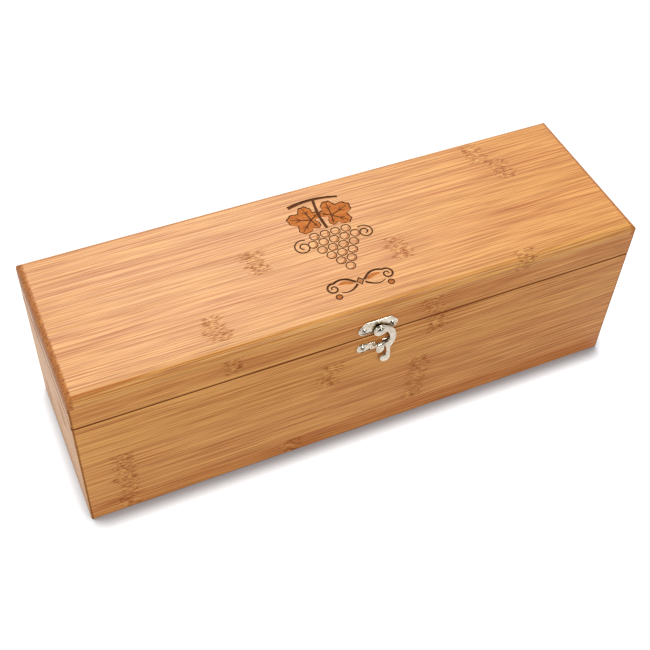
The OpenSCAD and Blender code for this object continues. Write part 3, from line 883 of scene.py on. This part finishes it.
def curl(centre, wide, tight, start, turns, steps=30):
    """Points of a spiral that winds in round a centre; turns below zero wind clockwise."""
    return [polar(centre, wide + (tight - wide) * t / steps, start + 360 * turns * t / steps)
            for t in range(steps + 1)]


# How far a leaf's lobes turn from its middle, in degrees, and how long they are
LOBES = {0: 1.0, 63: 0.86, -63: 0.86, 125: 0.56, -125: 0.56}


def leaf_outline(base, turn, reach, inset=0.0):
    """A five-lobed toothed leaf round its base."""
    points = 120
    outline = []
    for i in range(points):
        angle = 360 * i / points - 180
        lobe = max(long * max(math.cos(math.radians((angle - middle) * 1.75)), 0.0) ** 0.7
                   if abs(angle - middle) < 50 else 0.0 for middle, long in LOBES.items())
        teeth = 1 + 0.07 * abs((angle / 9) % 2 - 1)
        outline.append(polar(base, max(reach * lobe * teeth, 0.2 * reach) - inset, turn + angle))
    return outline


# The bunch of grapes, from its top row down: how many lie side by side
GRAPE_ROWS = (4, 5, 4, 3, 2, 1)


def draw_grapes(look, lines, fills):
    pitch = 2 * look.grape_r + look.grape_gap
    top = 10 * MM
    for row, count in enumerate(GRAPE_ROWS):
        for place in range(count):
            centre = Vector(((place - (count - 1) / 2) * pitch,
                             top - row * pitch * math.sqrt(3) / 2))
            inside = look.grape_r - 0.85 * look.line_w
            lines.hoop(circle(centre, look.grape_r), circle(centre, inside))
            belly = [polar(centre, inside - 0.3 * MM, -135 + 180 * t / 12) for t in range(13)]
            bright = polar(centre, 0.45 * inside, 135)
            edge = [polar(bright, 1.05 * inside, 10 - 110 * t / 12) for t in range(13)]
            fills.patch(belly + edge)


def draw_leaf(look, lines, fills, base, turn):
    outline = leaf_outline(base, turn, look.leaf_r)
    lines.hoop(outline, leaf_outline(base, turn, look.leaf_r, look.line_w))
    fills.patch(leaf_outline(base, turn, look.leaf_r, look.line_w / 2))
    for middle, long in LOBES.items():
        tip = polar(base, 0.88 * long * look.leaf_r, turn + middle)
        lines.patch(stroke([Vector(base).lerp(tip, t / 6) for t in range(7)],
                           1.2 * look.line_w, 0.5))
        for side in (-1, 1):
            root = Vector(base).lerp(tip, 0.5)
            twig = polar(root, 0.26 * long * look.leaf_r, turn + middle + 34 * side)
            lines.patch(stroke([root, root.lerp(twig, 0.5), twig], 0.8 * look.line_w, 0.6))


def draw_flourish(look, lines, fills):
    """Two scrolls that spring from a diamond under the bunch."""
    middle = -33 * MM
    for side in (-1, 1):
        def at(x, y):
            return Vector((side * x * MM, middle + y * MM))
        sweep = bent_line(at(2.8, 0), at(9, 7.5), at(15.5, 3.5), 16)
        hook = [at(*(p / MM)) for p in curl(Vector((17.2 * MM, -0.4 * MM)), 4.2 * MM, 0.9 * MM,
                                            113, -1.35, 34)]
        lines.patch(stroke(sweep + hook[1:], 2.1 * look.line_w, 0.5))
        under = bent_line(at(2.4, -1.6), at(8, -7.5), at(14, -4.5), 14)
        lines.patch(stroke(under, 1.9 * look.line_w, 0.4))
        fills.patch(bent_line(at(4.2, 0.2), at(8.8, 4.6), at(13.4, 1.8), 12)
                    + bent_line(at(13.0, 0.9), at(8.2, 0.4), at(5.0, -0.8), 12))
        fills.patch(circle(at(16.6, -7.2), 1.3 * MM, 16))
        lines.hoop(circle(at(16.6, -7.2), 2.2 * MM, 20), circle(at(16.6, -7.2), 1.4 * MM, 20))
    diamonds = [[polar((0, middle), reach * MM * (1.25 if turn % 180 else 1.0), turn)
                 for turn in (0, 90, 180, 270)] for reach in (2.6, 1.5, 1.1)]
    lines.hoop(*diamonds[:2])
    fills.patch(diamonds[2])


def vine_cuts(look):
    """The cutters of the ornament: scorched fills first, then the deeper burnt lines."""
    def on_lid(x, y, z):
        return (x + look.centre_x, y, z)

    fills, lines = (Stencil((LID_TOP - depth, LID_TOP + 1 * MM), on_lid)
                    for depth in (look.fill_depth, look.line_depth))
    draw_grapes(look, lines, fills)
    draw_leaf(look, lines, fills, (-6.5 * MM, 24 * MM), 160)
    draw_leaf(look, lines, fills, (7 * MM, 23.5 * MM), 22)
    stem = bent_line((0, 14 * MM), (-1.5 * MM, 26 * MM), (1.5 * MM, 40.6 * MM), 16)
    lines.patch(stroke(stem, 2.0 * MM, 0.9))
    cane = bent_line((-16 * MM, 38.5 * MM), (0, 43 * MM), (17 * MM, 37.5 * MM), 20)
    lines.patch(stroke(cane, 2.8 * MM, 0.6))
    lines.patch(stroke(curl((-20 * MM, 4 * MM), 6.2 * MM, 1 * MM, 60, 1.6, 44), 1.2 * look.line_w))
    lines.patch(stroke(curl((20 * MM, 3 * MM), 5.6 * MM, 1 * MM, 120, -1.6, 44),
                       1.2 * look.line_w))
    draw_flourish(look, lines, fills)
    return ((fills.mesh(), burnt_material("scorched_bamboo", look.fill_colour, 0.45)),
            (lines.mesh(), burnt_material("charred_bamboo", look.line_colour, 0.8)))


def cut_out(piece, mesh, material, crossing=False):
    """Cuts a stencil, whose shapes may cross, out of the piece; the cut takes the material."""
    mesh.materials.append(material)
    tool = link("stencil", mesh)
    boolean = piece.modifiers.new("cut", "BOOLEAN")
    boolean.operation = "DIFFERENCE"
    boolean.solver = "EXACT" if crossing else "MANIFOLD"
    boolean.use_self = crossing
    boolean.material_mode = "TRANSFER"
    boolean.object = tool
    settle(piece)
    bpy.data.objects.remove(tool)
    bpy.data.meshes.remove(mesh)


# ---- the catch's plates ----

def round_hull(circles):
    """The outline without hollows that goes round circles, given as (x, y, radius)."""
    dots = sorted(tuple(dot) for x, y, radius in circles
                  for dot in circle((x, y), radius, 24))
    halves = []
    for row in (dots, dots[::-1]):
        half = []
        for dot in row:
            while len(half) > 1 and turns_right(half[-2], half[-1], dot):
                half.pop()
            half.append(dot)
        halves += half[:-1]
    return halves


def turns_right(a, b, c):
    return (b[0] - a[0]) * (c[1] - a[1]) - (b[1] - a[1]) * (c[0] - a[0]) <= 0


def plate_edge(node, look):
    """How far an edge of a catch plate is rounded: its outline, but not its holes."""
    low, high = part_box("catch_rivet")
    heads, head_r = screw_heads(node + "_screws", FRONT)[:2]
    holes = [((low + high) / 2, (high.x - low.x) / 2)] + [(head, 1.1 * head_r) for head in heads]

    def width(edge):
        ends = [v.co for v in edge.verts]
        on_hole = any(math.hypot(p.x - middle.x, p.z - middle.z) < reach
                      for p in ends for middle, reach in holes)
        if not edge.is_convex or on_hole or all(p.y > -HALF_WIDTH - NEAR for p in ends):
            return 0.0
        on_tongue = any(p.y < PLATE_FACE - NEAR for p in ends)
        return look.tongue_edge if on_tongue else look.plate_edge
    return width


def plate_fields(node, look):
    """The stencil of the sunk fields inside the rim of a catch plate."""
    levels = (PLATE_FACE + look.field_d, PLATE_FACE - 0.1 * MM)
    sunk = Stencil(levels, lambda x, z, y: (x, y, z))
    low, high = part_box(node)
    left, right = (head.x for head in screw_heads(node + "_screws", FRONT)[0])
    ear_r = left - low.x
    ear_z = low.z + ear_r
    field_r = ear_r - look.rim_w
    ears = [(left, ear_z, field_r), (right, ear_z, field_r)]
    if node == "catch_plate":
        # One field goes round both ears and the two corners of the straight top
        corner_r = field_r / 2
        top = high.z - look.rim_w - corner_r
        sunk.patch(round_hull(ears + [(left + 2.2 * MM, top, corner_r),
                                      (right - 2.2 * MM, top, corner_r)]))
        return sunk.mesh()
    # The keeper has a field in each ear, which narrows towards the tongue in the middle
    waist = 0.75 * field_r
    for ear, side, reach in ((ears[0], 1, 4.2 * MM), (ears[1], -1, 3.2 * MM)):
        bar = (ear[0] + side * reach, ear_z, waist)
        sunk.patch(round_hull([ear, bar]))
    return sunk.mesh()


# ---- screws, by geometry nodes ----

class GeometryGraph(Graph):
    """Adds geometry nodes to a tree; the values are Graph's."""

    def shape(self, kind, values=None, **settings):
        return self.add("GeometryNode" + kind, values, **settings).outputs[0]


SCREW_SIZES = ("Head radius", "Shank radius", "Length", "Crown", "Pitch", "Thread depth",
               "Cross width", "Cross depth")
# How many rings a screw is turned in, and how many sides each has
SCREW_RINGS, SCREW_SIDES = 130, 36


def screw_tree():
    """Cross-recessed wood screws: one on each point of the mesh that comes in."""
    name = "wood_screws"
    if name in bpy.data.node_groups:
        return bpy.data.node_groups[name]
    tree = bpy.data.node_groups.new(name, "GeometryNodeTree")
    tree.interface.new_socket("Heads", in_out="INPUT", socket_type="NodeSocketGeometry")
    for label in SCREW_SIZES:
        tree.interface.new_socket(label, in_out="INPUT", socket_type="NodeSocketFloat")
    tree.interface.new_socket("Facing", in_out="INPUT", socket_type="NodeSocketVector")
    tree.interface.new_socket("Turn seed", in_out="INPUT", socket_type="NodeSocketInt")
    tree.interface.new_socket("Finish", in_out="INPUT", socket_type="NodeSocketMaterial")
    tree.interface.new_socket("Screws", in_out="OUTPUT", socket_type="NodeSocketGeometry")
    graph = GeometryGraph(tree)
    given = tree.nodes.new("NodeGroupInput").outputs
    made = tree.nodes.new("NodeGroupOutput").inputs
    head, shank, crown = given["Head radius"], given["Shank radius"], given["Crown"]

    # How far down from the crown a ring of the screw lies; rings crowd near the head
    share_down = graph.add("GeometryNodeSplineParameter").outputs["Factor"]
    total = graph.math("ADD", given["Length"], crown)
    down = graph.math("MULTIPLY", total, graph.math("POWER", share_down, 1.6))

    # The screw's radius there: the crown is part of an ellipse, then come cone, shank, point
    past_crown = graph.math("DIVIDE", down, graph.math("MAXIMUM", crown, 0.01 * MM))
    short = graph.math("SUBTRACT", 1.0, past_crown, clamp=True)
    round_head = graph.math("SQRT", graph.math("SUBTRACT", 1.0, graph.math("POWER", short, 2.0)))
    dome = graph.math("MULTIPLY", head, graph.math("MAXIMUM", round_head, 0.03))
    cone = graph.math("SUBTRACT", graph.math("ADD", head, crown), down)
    body = graph.math("MAXIMUM", cone, shank)
    point = graph.math("MULTIPLY", graph.math("SUBTRACT", total, down), 0.5)
    radius = graph.math("MINIMUM", dome, graph.math("MINIMUM", body, point))
    radius = graph.math("MAXIMUM", radius, 0.02 * MM)

    line = graph.shape("CurvePrimitiveLine", {"Start": (0, 0, 0), "End": (0, 0, -1)})
    line = graph.shape("ResampleCurve", {"Curve": line, "Count": SCREW_RINGS}, mode="COUNT")
    place = graph.combine(0.0, 0.0, graph.math("SUBTRACT", crown, down))
    line = graph.shape("SetPosition", {"Geometry": line, "Position": place})
    line = graph.shape("SetCurveRadius", {"Curve": line, "Radius": radius})
    ring = graph.shape("CurvePrimitiveCircle", {"Resolution": SCREW_SIDES, "Radius": 1.0})
    turned = graph.add("GeometryNodeCurveToMesh", {
        "Curve": line, "Profile Curve": ring, "Scale": radius, "Fill Caps": True}).outputs[0]

    # The thread is a ridge that climbs one pitch a turn along the shank
    x, y, z = graph.separate(graph.add("GeometryNodeInputPosition").outputs[0])
    turn = graph.math("DIVIDE", graph.math("ARCTAN2", y, x), 2 * math.pi)
    rise = graph.math("FRACT", graph.math("ADD", graph.math("DIVIDE", z, given["Pitch"]), turn))
    ridge = graph.math("SUBTRACT", 1.0, graph.math("MULTIPLY", graph.math(
        "ABSOLUTE", graph.math("SUBTRACT", rise, 0.5)), 5.0), clamp=True)
    start = graph.math("MULTIPLY", head, -1.3)
    threaded = graph.span(z, start, graph.math("SUBTRACT", start, given["Pitch"]))
    pointed = graph.span(graph.math("ADD", z, given["Length"]), 0.0, 1.5 * MM)
    lift = graph.math("MULTIPLY", graph.math("MULTIPLY", ridge, threaded),
                      graph.math("MULTIPLY", pointed, given["Thread depth"]))
    spoke = graph.vector("NORMALIZE", graph.combine(x, y, 0.0))
    scale = graph.add("ShaderNodeVectorMath", {0: spoke, "Scale": lift}, operation="SCALE")
    turned = graph.shape("SetPosition", {"Geometry": turned, "Offset": scale.outputs[0]})

    # The cross recess
    long = graph.math("MULTIPLY", head, 1.25)
    deep = graph.math("MULTIPLY", graph.math("ADD", given["Cross depth"], crown), 2.0)
    bars = [graph.shape("MeshCube", {"Size": size}) for size in (
        graph.combine(long, given["Cross width"], deep),
        graph.combine(given["Cross width"], long, deep))]
    bars = [graph.shape("Transform", {
        "Geometry": bar, "Translation": graph.combine(0.0, 0.0, crown)}) for bar in bars]
    cut = tree.nodes.new("GeometryNodeMeshBoolean")
    cut.operation = "DIFFERENCE"
    cut.solver = "EXACT"
    tree.links.new(turned, cut.inputs["Mesh 1"])
    for bar in bars:
        tree.links.new(bar, cut.inputs["Mesh 2"])

    upright = graph.add("FunctionNodeAlignRotationToVector", {"Vector": given["Facing"]},
                        axis="Z").outputs[0]
    spin = graph.add("FunctionNodeRandomValue", {2: 0.0, 3: math.pi / 2,
                                                 "Seed": given["Turn seed"]})
    spun = graph.add("FunctionNodeAxisAngleToRotation", {"Axis": (0, 0, 1),
                                                         "Angle": spin.outputs[1]})
    stance = graph.add("FunctionNodeRotateRotation", {
        "Rotation": upright, "Rotate By": spun.outputs[0]}, rotation_space="LOCAL").outputs[0]
    screws = graph.shape("InstanceOnPoints", {
        "Points": given["Heads"], "Instance": cut.outputs[0], "Rotation": stance})
    screws = graph.shape("RealizeInstances", {"Geometry": screws})
    screws = graph.shape("SetMaterial", {"Geometry": screws, "Material": given["Finish"]})
    tree.links.new(screws, made["Screws"])
    return tree


def loose_parts(solid):
    """The groups of vertices that hang together, in the same order at every run."""
    waiting = set(solid.verts)
    for first in solid.verts:
        if first not in waiting:
            continue
        waiting.remove(first)
        group, edge = [], [first]
        while edge:
            vert = edge.pop()
            group.append(vert)
            near = {e.other_vert(vert) for e in vert.link_edges} & waiting
            waiting -= near
            edge.extend(near)
        yield group


def screw_heads(node, facing):
    """The middles of a node's screw heads from left to right, so that each screw keeps its
    random turn, and their radius, shank radius and length."""
    solid = merged_solid(node)
    heads = []
    for part in loose_parts(solid):
        top = max(v.co.dot(facing) for v in part)
        rim = [v.co for v in part if top - v.co.dot(facing) < 1e-5]
        low = [min(p[i] for p in rim) for i in range(3)]
        high = [max(p[i] for p in rim) for i in range(3)]
        heads.append((Vector(low) + Vector(high)) / 2)
        head_r = max((p - heads[-1]).length for p in rim)
        long = top - min(v.co.dot(facing) for v in part)
        # The shank is between the head's cone and the point
        offsets = [(v.co - heads[-1]) - (v.co - heads[-1]).dot(facing) * facing
                   for v in part if 1.2 * head_r < top - v.co.dot(facing) < 0.95 * long]
        shank_r = max(offset.length for offset in offsets)
    solid.free()
    heads.sort(key=lambda head: head.x)
    return heads, head_r, shank_r, long


def make_screws(node, facing, crown, material):
    look = bpy.context.scene.box_metal
    heads, head_r, shank_r, long = screw_heads(node, facing)
    mesh = bpy.data.meshes.new(node + "_turned")
    mesh.from_pydata(heads, [], [])
    piece = link(node + "_turned", mesh)
    turning = piece.modifiers.new("screws", "NODES")
    turning.node_group = screw_tree()
    values = {
        "Head radius": head_r, "Shank radius": shank_r, "Length": long, "Crown": crown,
        "Pitch": look.thread_pitch, "Thread depth": 0.12 * look.thread_pitch,
        "Cross width": look.recess_w, "Cross depth": look.recess_d, "Facing": facing,
        "Turn seed": look.spin_seed, "Finish": material,
    }
    for socket in screw_tree().interface.items_tree:
        if socket.name in values:
            turning[socket.identifier] = values[socket.name]
    settle(piece)
    stand_for(piece, node)


# ---- operators ----

class BOX_OT_case_boards(bpy.types.Operator):
    """Make the four walls and the bottom of the case"""
    bl_idname = "bottle_box.case_boards"
    bl_label = "Case boards"

    def execute(self, context):
        make_board("front_panel", "front")
        make_board("back_panel", "back")
        make_board("left_end_panel", "left")
        make_board("right_end_panel", "right")
        make_board("bottom_panel", "floor")
        return {"FINISHED"}


class BOX_OT_lid_rails(bpy.types.Operator):
    """Make the four rails of the lid"""
    bl_idname = "bottle_box.lid_rails"
    bl_label = "Lid rails"

    def execute(self, context):
        make_board("lid_front_rail", "front")
        make_board("lid_back_rail", "back")
        make_board("lid_left_rail", "left")
        make_board("lid_right_rail", "right")
        return {"FINISHED"}


class BOX_OT_lid_top(bpy.types.Operator):
    """Make the lid's top panel with the vine that is burnt into it"""
    bl_idname = "bottle_box.lid_top"
    bl_label = "Lid top"

    def execute(self, context):
        node = "lid_top_panel"
        piece = edged_copy(node, node + "_board", board_edge(context.scene.box_bamboo),
                           bamboo_material("top"))
        for mesh, material in vine_cuts(context.scene.box_ornament):
            cut_out(piece, mesh, material, crossing=True)
        flatten_normals(piece)
        stand_for(piece, node)
        return {"FINISHED"}


class BOX_OT_rests(bpy.types.Operator):
    """Make the two rests for the bottle"""
    bl_idname = "bottle_box.rests"
    bl_label = "Bottle rests"

    def execute(self, context):
        edges = even(context.scene.box_bamboo.inner_edge)
        make_board("bottle_body_rest", "rest", edges)
        make_board("bottle_neck_rest", "rest", edges)
        return {"FINISHED"}


class BOX_OT_hinges(bpy.types.Operator):
    """Make the leaves and pins of the two hinges"""
    bl_idname = "bottle_box.hinges"
    bl_label = "Hinges"

    def execute(self, context):
        edges = even(context.scene.box_metal.hinge_edge)
        for side in ("left", "right"):
            for part in ("hinge_case_leaf", "hinge_lid_leaf"):
                node = f"{side}_{part}"
                piece = edged_copy(node, node + "_plate", edges, nickel_material(), segments=2)
                stand_for(piece, node)
            node = side + "_hinge_pin"
            piece = edged_copy(node, node + "_rod", edges, steel_material(), segments=2)
            stand_for(piece, node)
        return {"FINISHED"}


class BOX_OT_catch(bpy.types.Operator):
    """Make the plates, the lever and the rivet of the catch"""
    bl_idname = "bottle_box.catch"
    bl_label = "Catch"

    def execute(self, context):
        look = context.scene.box_metal
        for node in ("catch_plate", "catch_keeper"):
            piece = edged_copy(node, node + "_cast", plate_edge(node, look), nickel_material(),
                               slide=False)
            cut_out(piece, plate_fields(node, look), nickel_material())
            stand_for(piece, node)
        for node, width in (("catch_lever", look.lever_edge), ("catch_rivet", look.hinge_edge)):
            piece = edged_copy(node, node + "_cast", even(width), nickel_material())
            stand_for(piece, node)
        return {"FINISHED"}


class BOX_OT_screws(bpy.types.Operator):
    """Make the screws of the hinges and of the catch"""
    bl_idname = "bottle_box.screws"
    bl_label = "Screws"

    def execute(self, context):
        look = context.scene.box_metal
        make_screws("hinge_case_screws", UP, 0.0, steel_material())
        make_screws("hinge_lid_screws", -UP, 0.0, steel_material())
        make_screws("catch_plate_screws", FRONT, look.crown, nickel_material())
        make_screws("catch_keeper_screws", FRONT, look.crown, nickel_material())
        return {"FINISHED"}


class BOX_OT_stage(bpy.types.Operator):
    """Make the floor, the lamps, the sky and the camera"""
    bl_idname = "bottle_box.stage"
    bl_label = "Stage"

    def execute(self, context):
        look = context.scene.box_stage
        self.floor(look)
        self.sky(context, look)
        for name, power in (("key", look.key), ("fill", look.fill), ("side", look.side)):
            self.lamp(context, name + "_lamp", power, LAMPS[name], Vector(look.target))
        self.camera(context, look)
        context.scene.view_settings.view_transform = "Standard"
        return {"FINISHED"}

    def floor(self, look):
        plane = bmesh.new()
        bmesh.ops.create_grid(plane, x_segments=2, y_segments=2, size=FLOOR_SIZE / 2)
        mesh = bpy.data.meshes.new("floor")
        plane.to_mesh(mesh)
        plane.free()
        floor = link("floor", mesh)
        floor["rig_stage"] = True
        material = bpy.data.materials.new("floor_white")
        material.use_nodes = True
        material.node_tree.nodes.clear()
        graph = Graph(material.node_tree)
        lean = Vector(look.shadow_lean).normalized()
        open_air = graph.add("ShaderNodeAmbientOcclusion", {
            "Distance": look.contact, "Normal": graph.combine(*lean)})
        lit = graph.span(open_air.outputs["AO"], *SHADOW_FADE)
        path = graph.add("ShaderNodeLightPath").outputs
        seen = graph.math("MAXIMUM", path["Is Glossy Ray"], path["Is Transmission Ray"])
        place = graph.add("ShaderNodeTexCoord").outputs["Object"]
        nearby = graph.span(graph.separate(place)[1], *MIRRORED_FADE, look.dark_card, 1.0)
        seen = graph.math("MAXIMUM", path["Is Camera Ray"], graph.math("MULTIPLY", seen, nearby))
        level = graph.math("MULTIPLY", graph.math("MULTIPLY", lit, look.glow), seen)
        matt = graph.add("ShaderNodeBsdfDiffuse", {"Color": rgba(look.floor)}).outputs[0]
        glow = graph.add("ShaderNodeEmission", {"Strength": level}).outputs[0]
        both = graph.add("ShaderNodeAddShader", {0: matt, 1: glow}).outputs[0]
        graph.add("ShaderNodeOutputMaterial", {"Surface": both})
        mesh.materials.append(material)

    def sky(self, context, look):
        """White for the camera; for the rest, grey with a dark card in front."""
        world = bpy.data.worlds.new("studio")
        context.scene.world = world
        world.use_nodes = True
        world.node_tree.nodes.clear()
        graph = Graph(world.node_tree)
        towards = graph.add("ShaderNodeTexCoord").outputs["Generated"]
        off_card = graph.span(graph.vector("DOT_PRODUCT", towards, CARD), *CARD_FADE, 1.0,
                              look.dark_card, smooth=True)
        path = graph.add("ShaderNodeLightPath").outputs
        shiny = graph.math("MAXIMUM", path["Is Glossy Ray"], path["Is Transmission Ray"])
        level = graph.math("MAXIMUM", graph.math("MULTIPLY", off_card, shiny),
                           path["Is Camera Ray"])
        soft = graph.math("MULTIPLY", path["Is Diffuse Ray"], look.sky)
        light = graph.add("ShaderNodeBackground", {
            "Color": (1, 1, 1, 1), "Strength": graph.math("MAXIMUM", level, soft)})
        graph.add("ShaderNodeOutputWorld", {"Surface": light.outputs[0]})

    def lamp(self, context, name, power, lamp, aim):
        """A soft rectangular lamp that looks at the aim."""
        data = bpy.data.lights.new(name, "AREA")
        data.energy = power
        data.shape = "RECTANGLE"
        data.size = lamp.width
        data.size_y = lamp.height
        stand = bpy.data.objects.new(name, data)
        context.scene.collection.objects.link(stand)
        stand.location = lamp.place
        stand.rotation_euler = (aim - Vector(lamp.place)).to_track_quat("-Z", "Y").to_euler()

    def camera(self, context, look):
        data = bpy.data.cameras.new("camera")
        data.lens = look.lens
        camera = bpy.data.objects.new("camera", data)
        context.scene.collection.objects.link(camera)
        place, target = Vector(look.camera), Vector(look.target)
        aimed = (target - place).to_track_quat("-Z", "Y").to_matrix()
        camera.matrix_world = (Matrix.Translation(place)
                               @ (aimed @ Matrix.Rotation(look.roll, 3, "Z")).to_4x4())
        context.scene.camera = camera


STEPS = [
    BOX_OT_case_boards, BOX_OT_lid_rails, BOX_OT_lid_top, BOX_OT_rests, BOX_OT_hinges,
    BOX_OT_catch, BOX_OT_screws, BOX_OT_stage,
]


class BOX_PT_sidebar(bpy.types.Panel):
    """Buttons and settings of the bottle box"""
    bl_label = "Bottle box"
    bl_space_type = "VIEW_3D"
    bl_region_type = "UI"
    bl_category = "Bottle box"

    def draw(self, context):
        for step in STEPS:
            self.layout.operator(step.bl_idname)
        for name, group in SETTINGS.items():
            self.layout.label(text=group.__doc__)
            for key in group.__annotations__:
                self.layout.prop(getattr(context.scene, name), key)


def register():
    for group in SETTINGS.values():
        bpy.utils.register_class(group)
    for name, group in SETTINGS.items():
        setattr(bpy.types.Scene, name, PointerProperty(type=group))
    for cls in (*STEPS, BOX_PT_sidebar):
        bpy.utils.register_class(cls)


def unregister():
    for cls in reversed((*STEPS, BOX_PT_sidebar)):
        bpy.utils.unregister_class(cls)
    for name in SETTINGS:
        delattr(bpy.types.Scene, name)
    for group in reversed(list(SETTINGS.values())):
        bpy.utils.unregister_class(group)


def main():
    register()
    for step in STEPS:
        getattr(bpy.ops.bottle_box, step.bl_idname.split(".")[1])()
    boxes = {"cad": CAD_BOX, "visual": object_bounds()}
    {name: [list(low), list(high)] for name, (low, high) in boxes.items()}


if __name__ == "__main__":
    main()
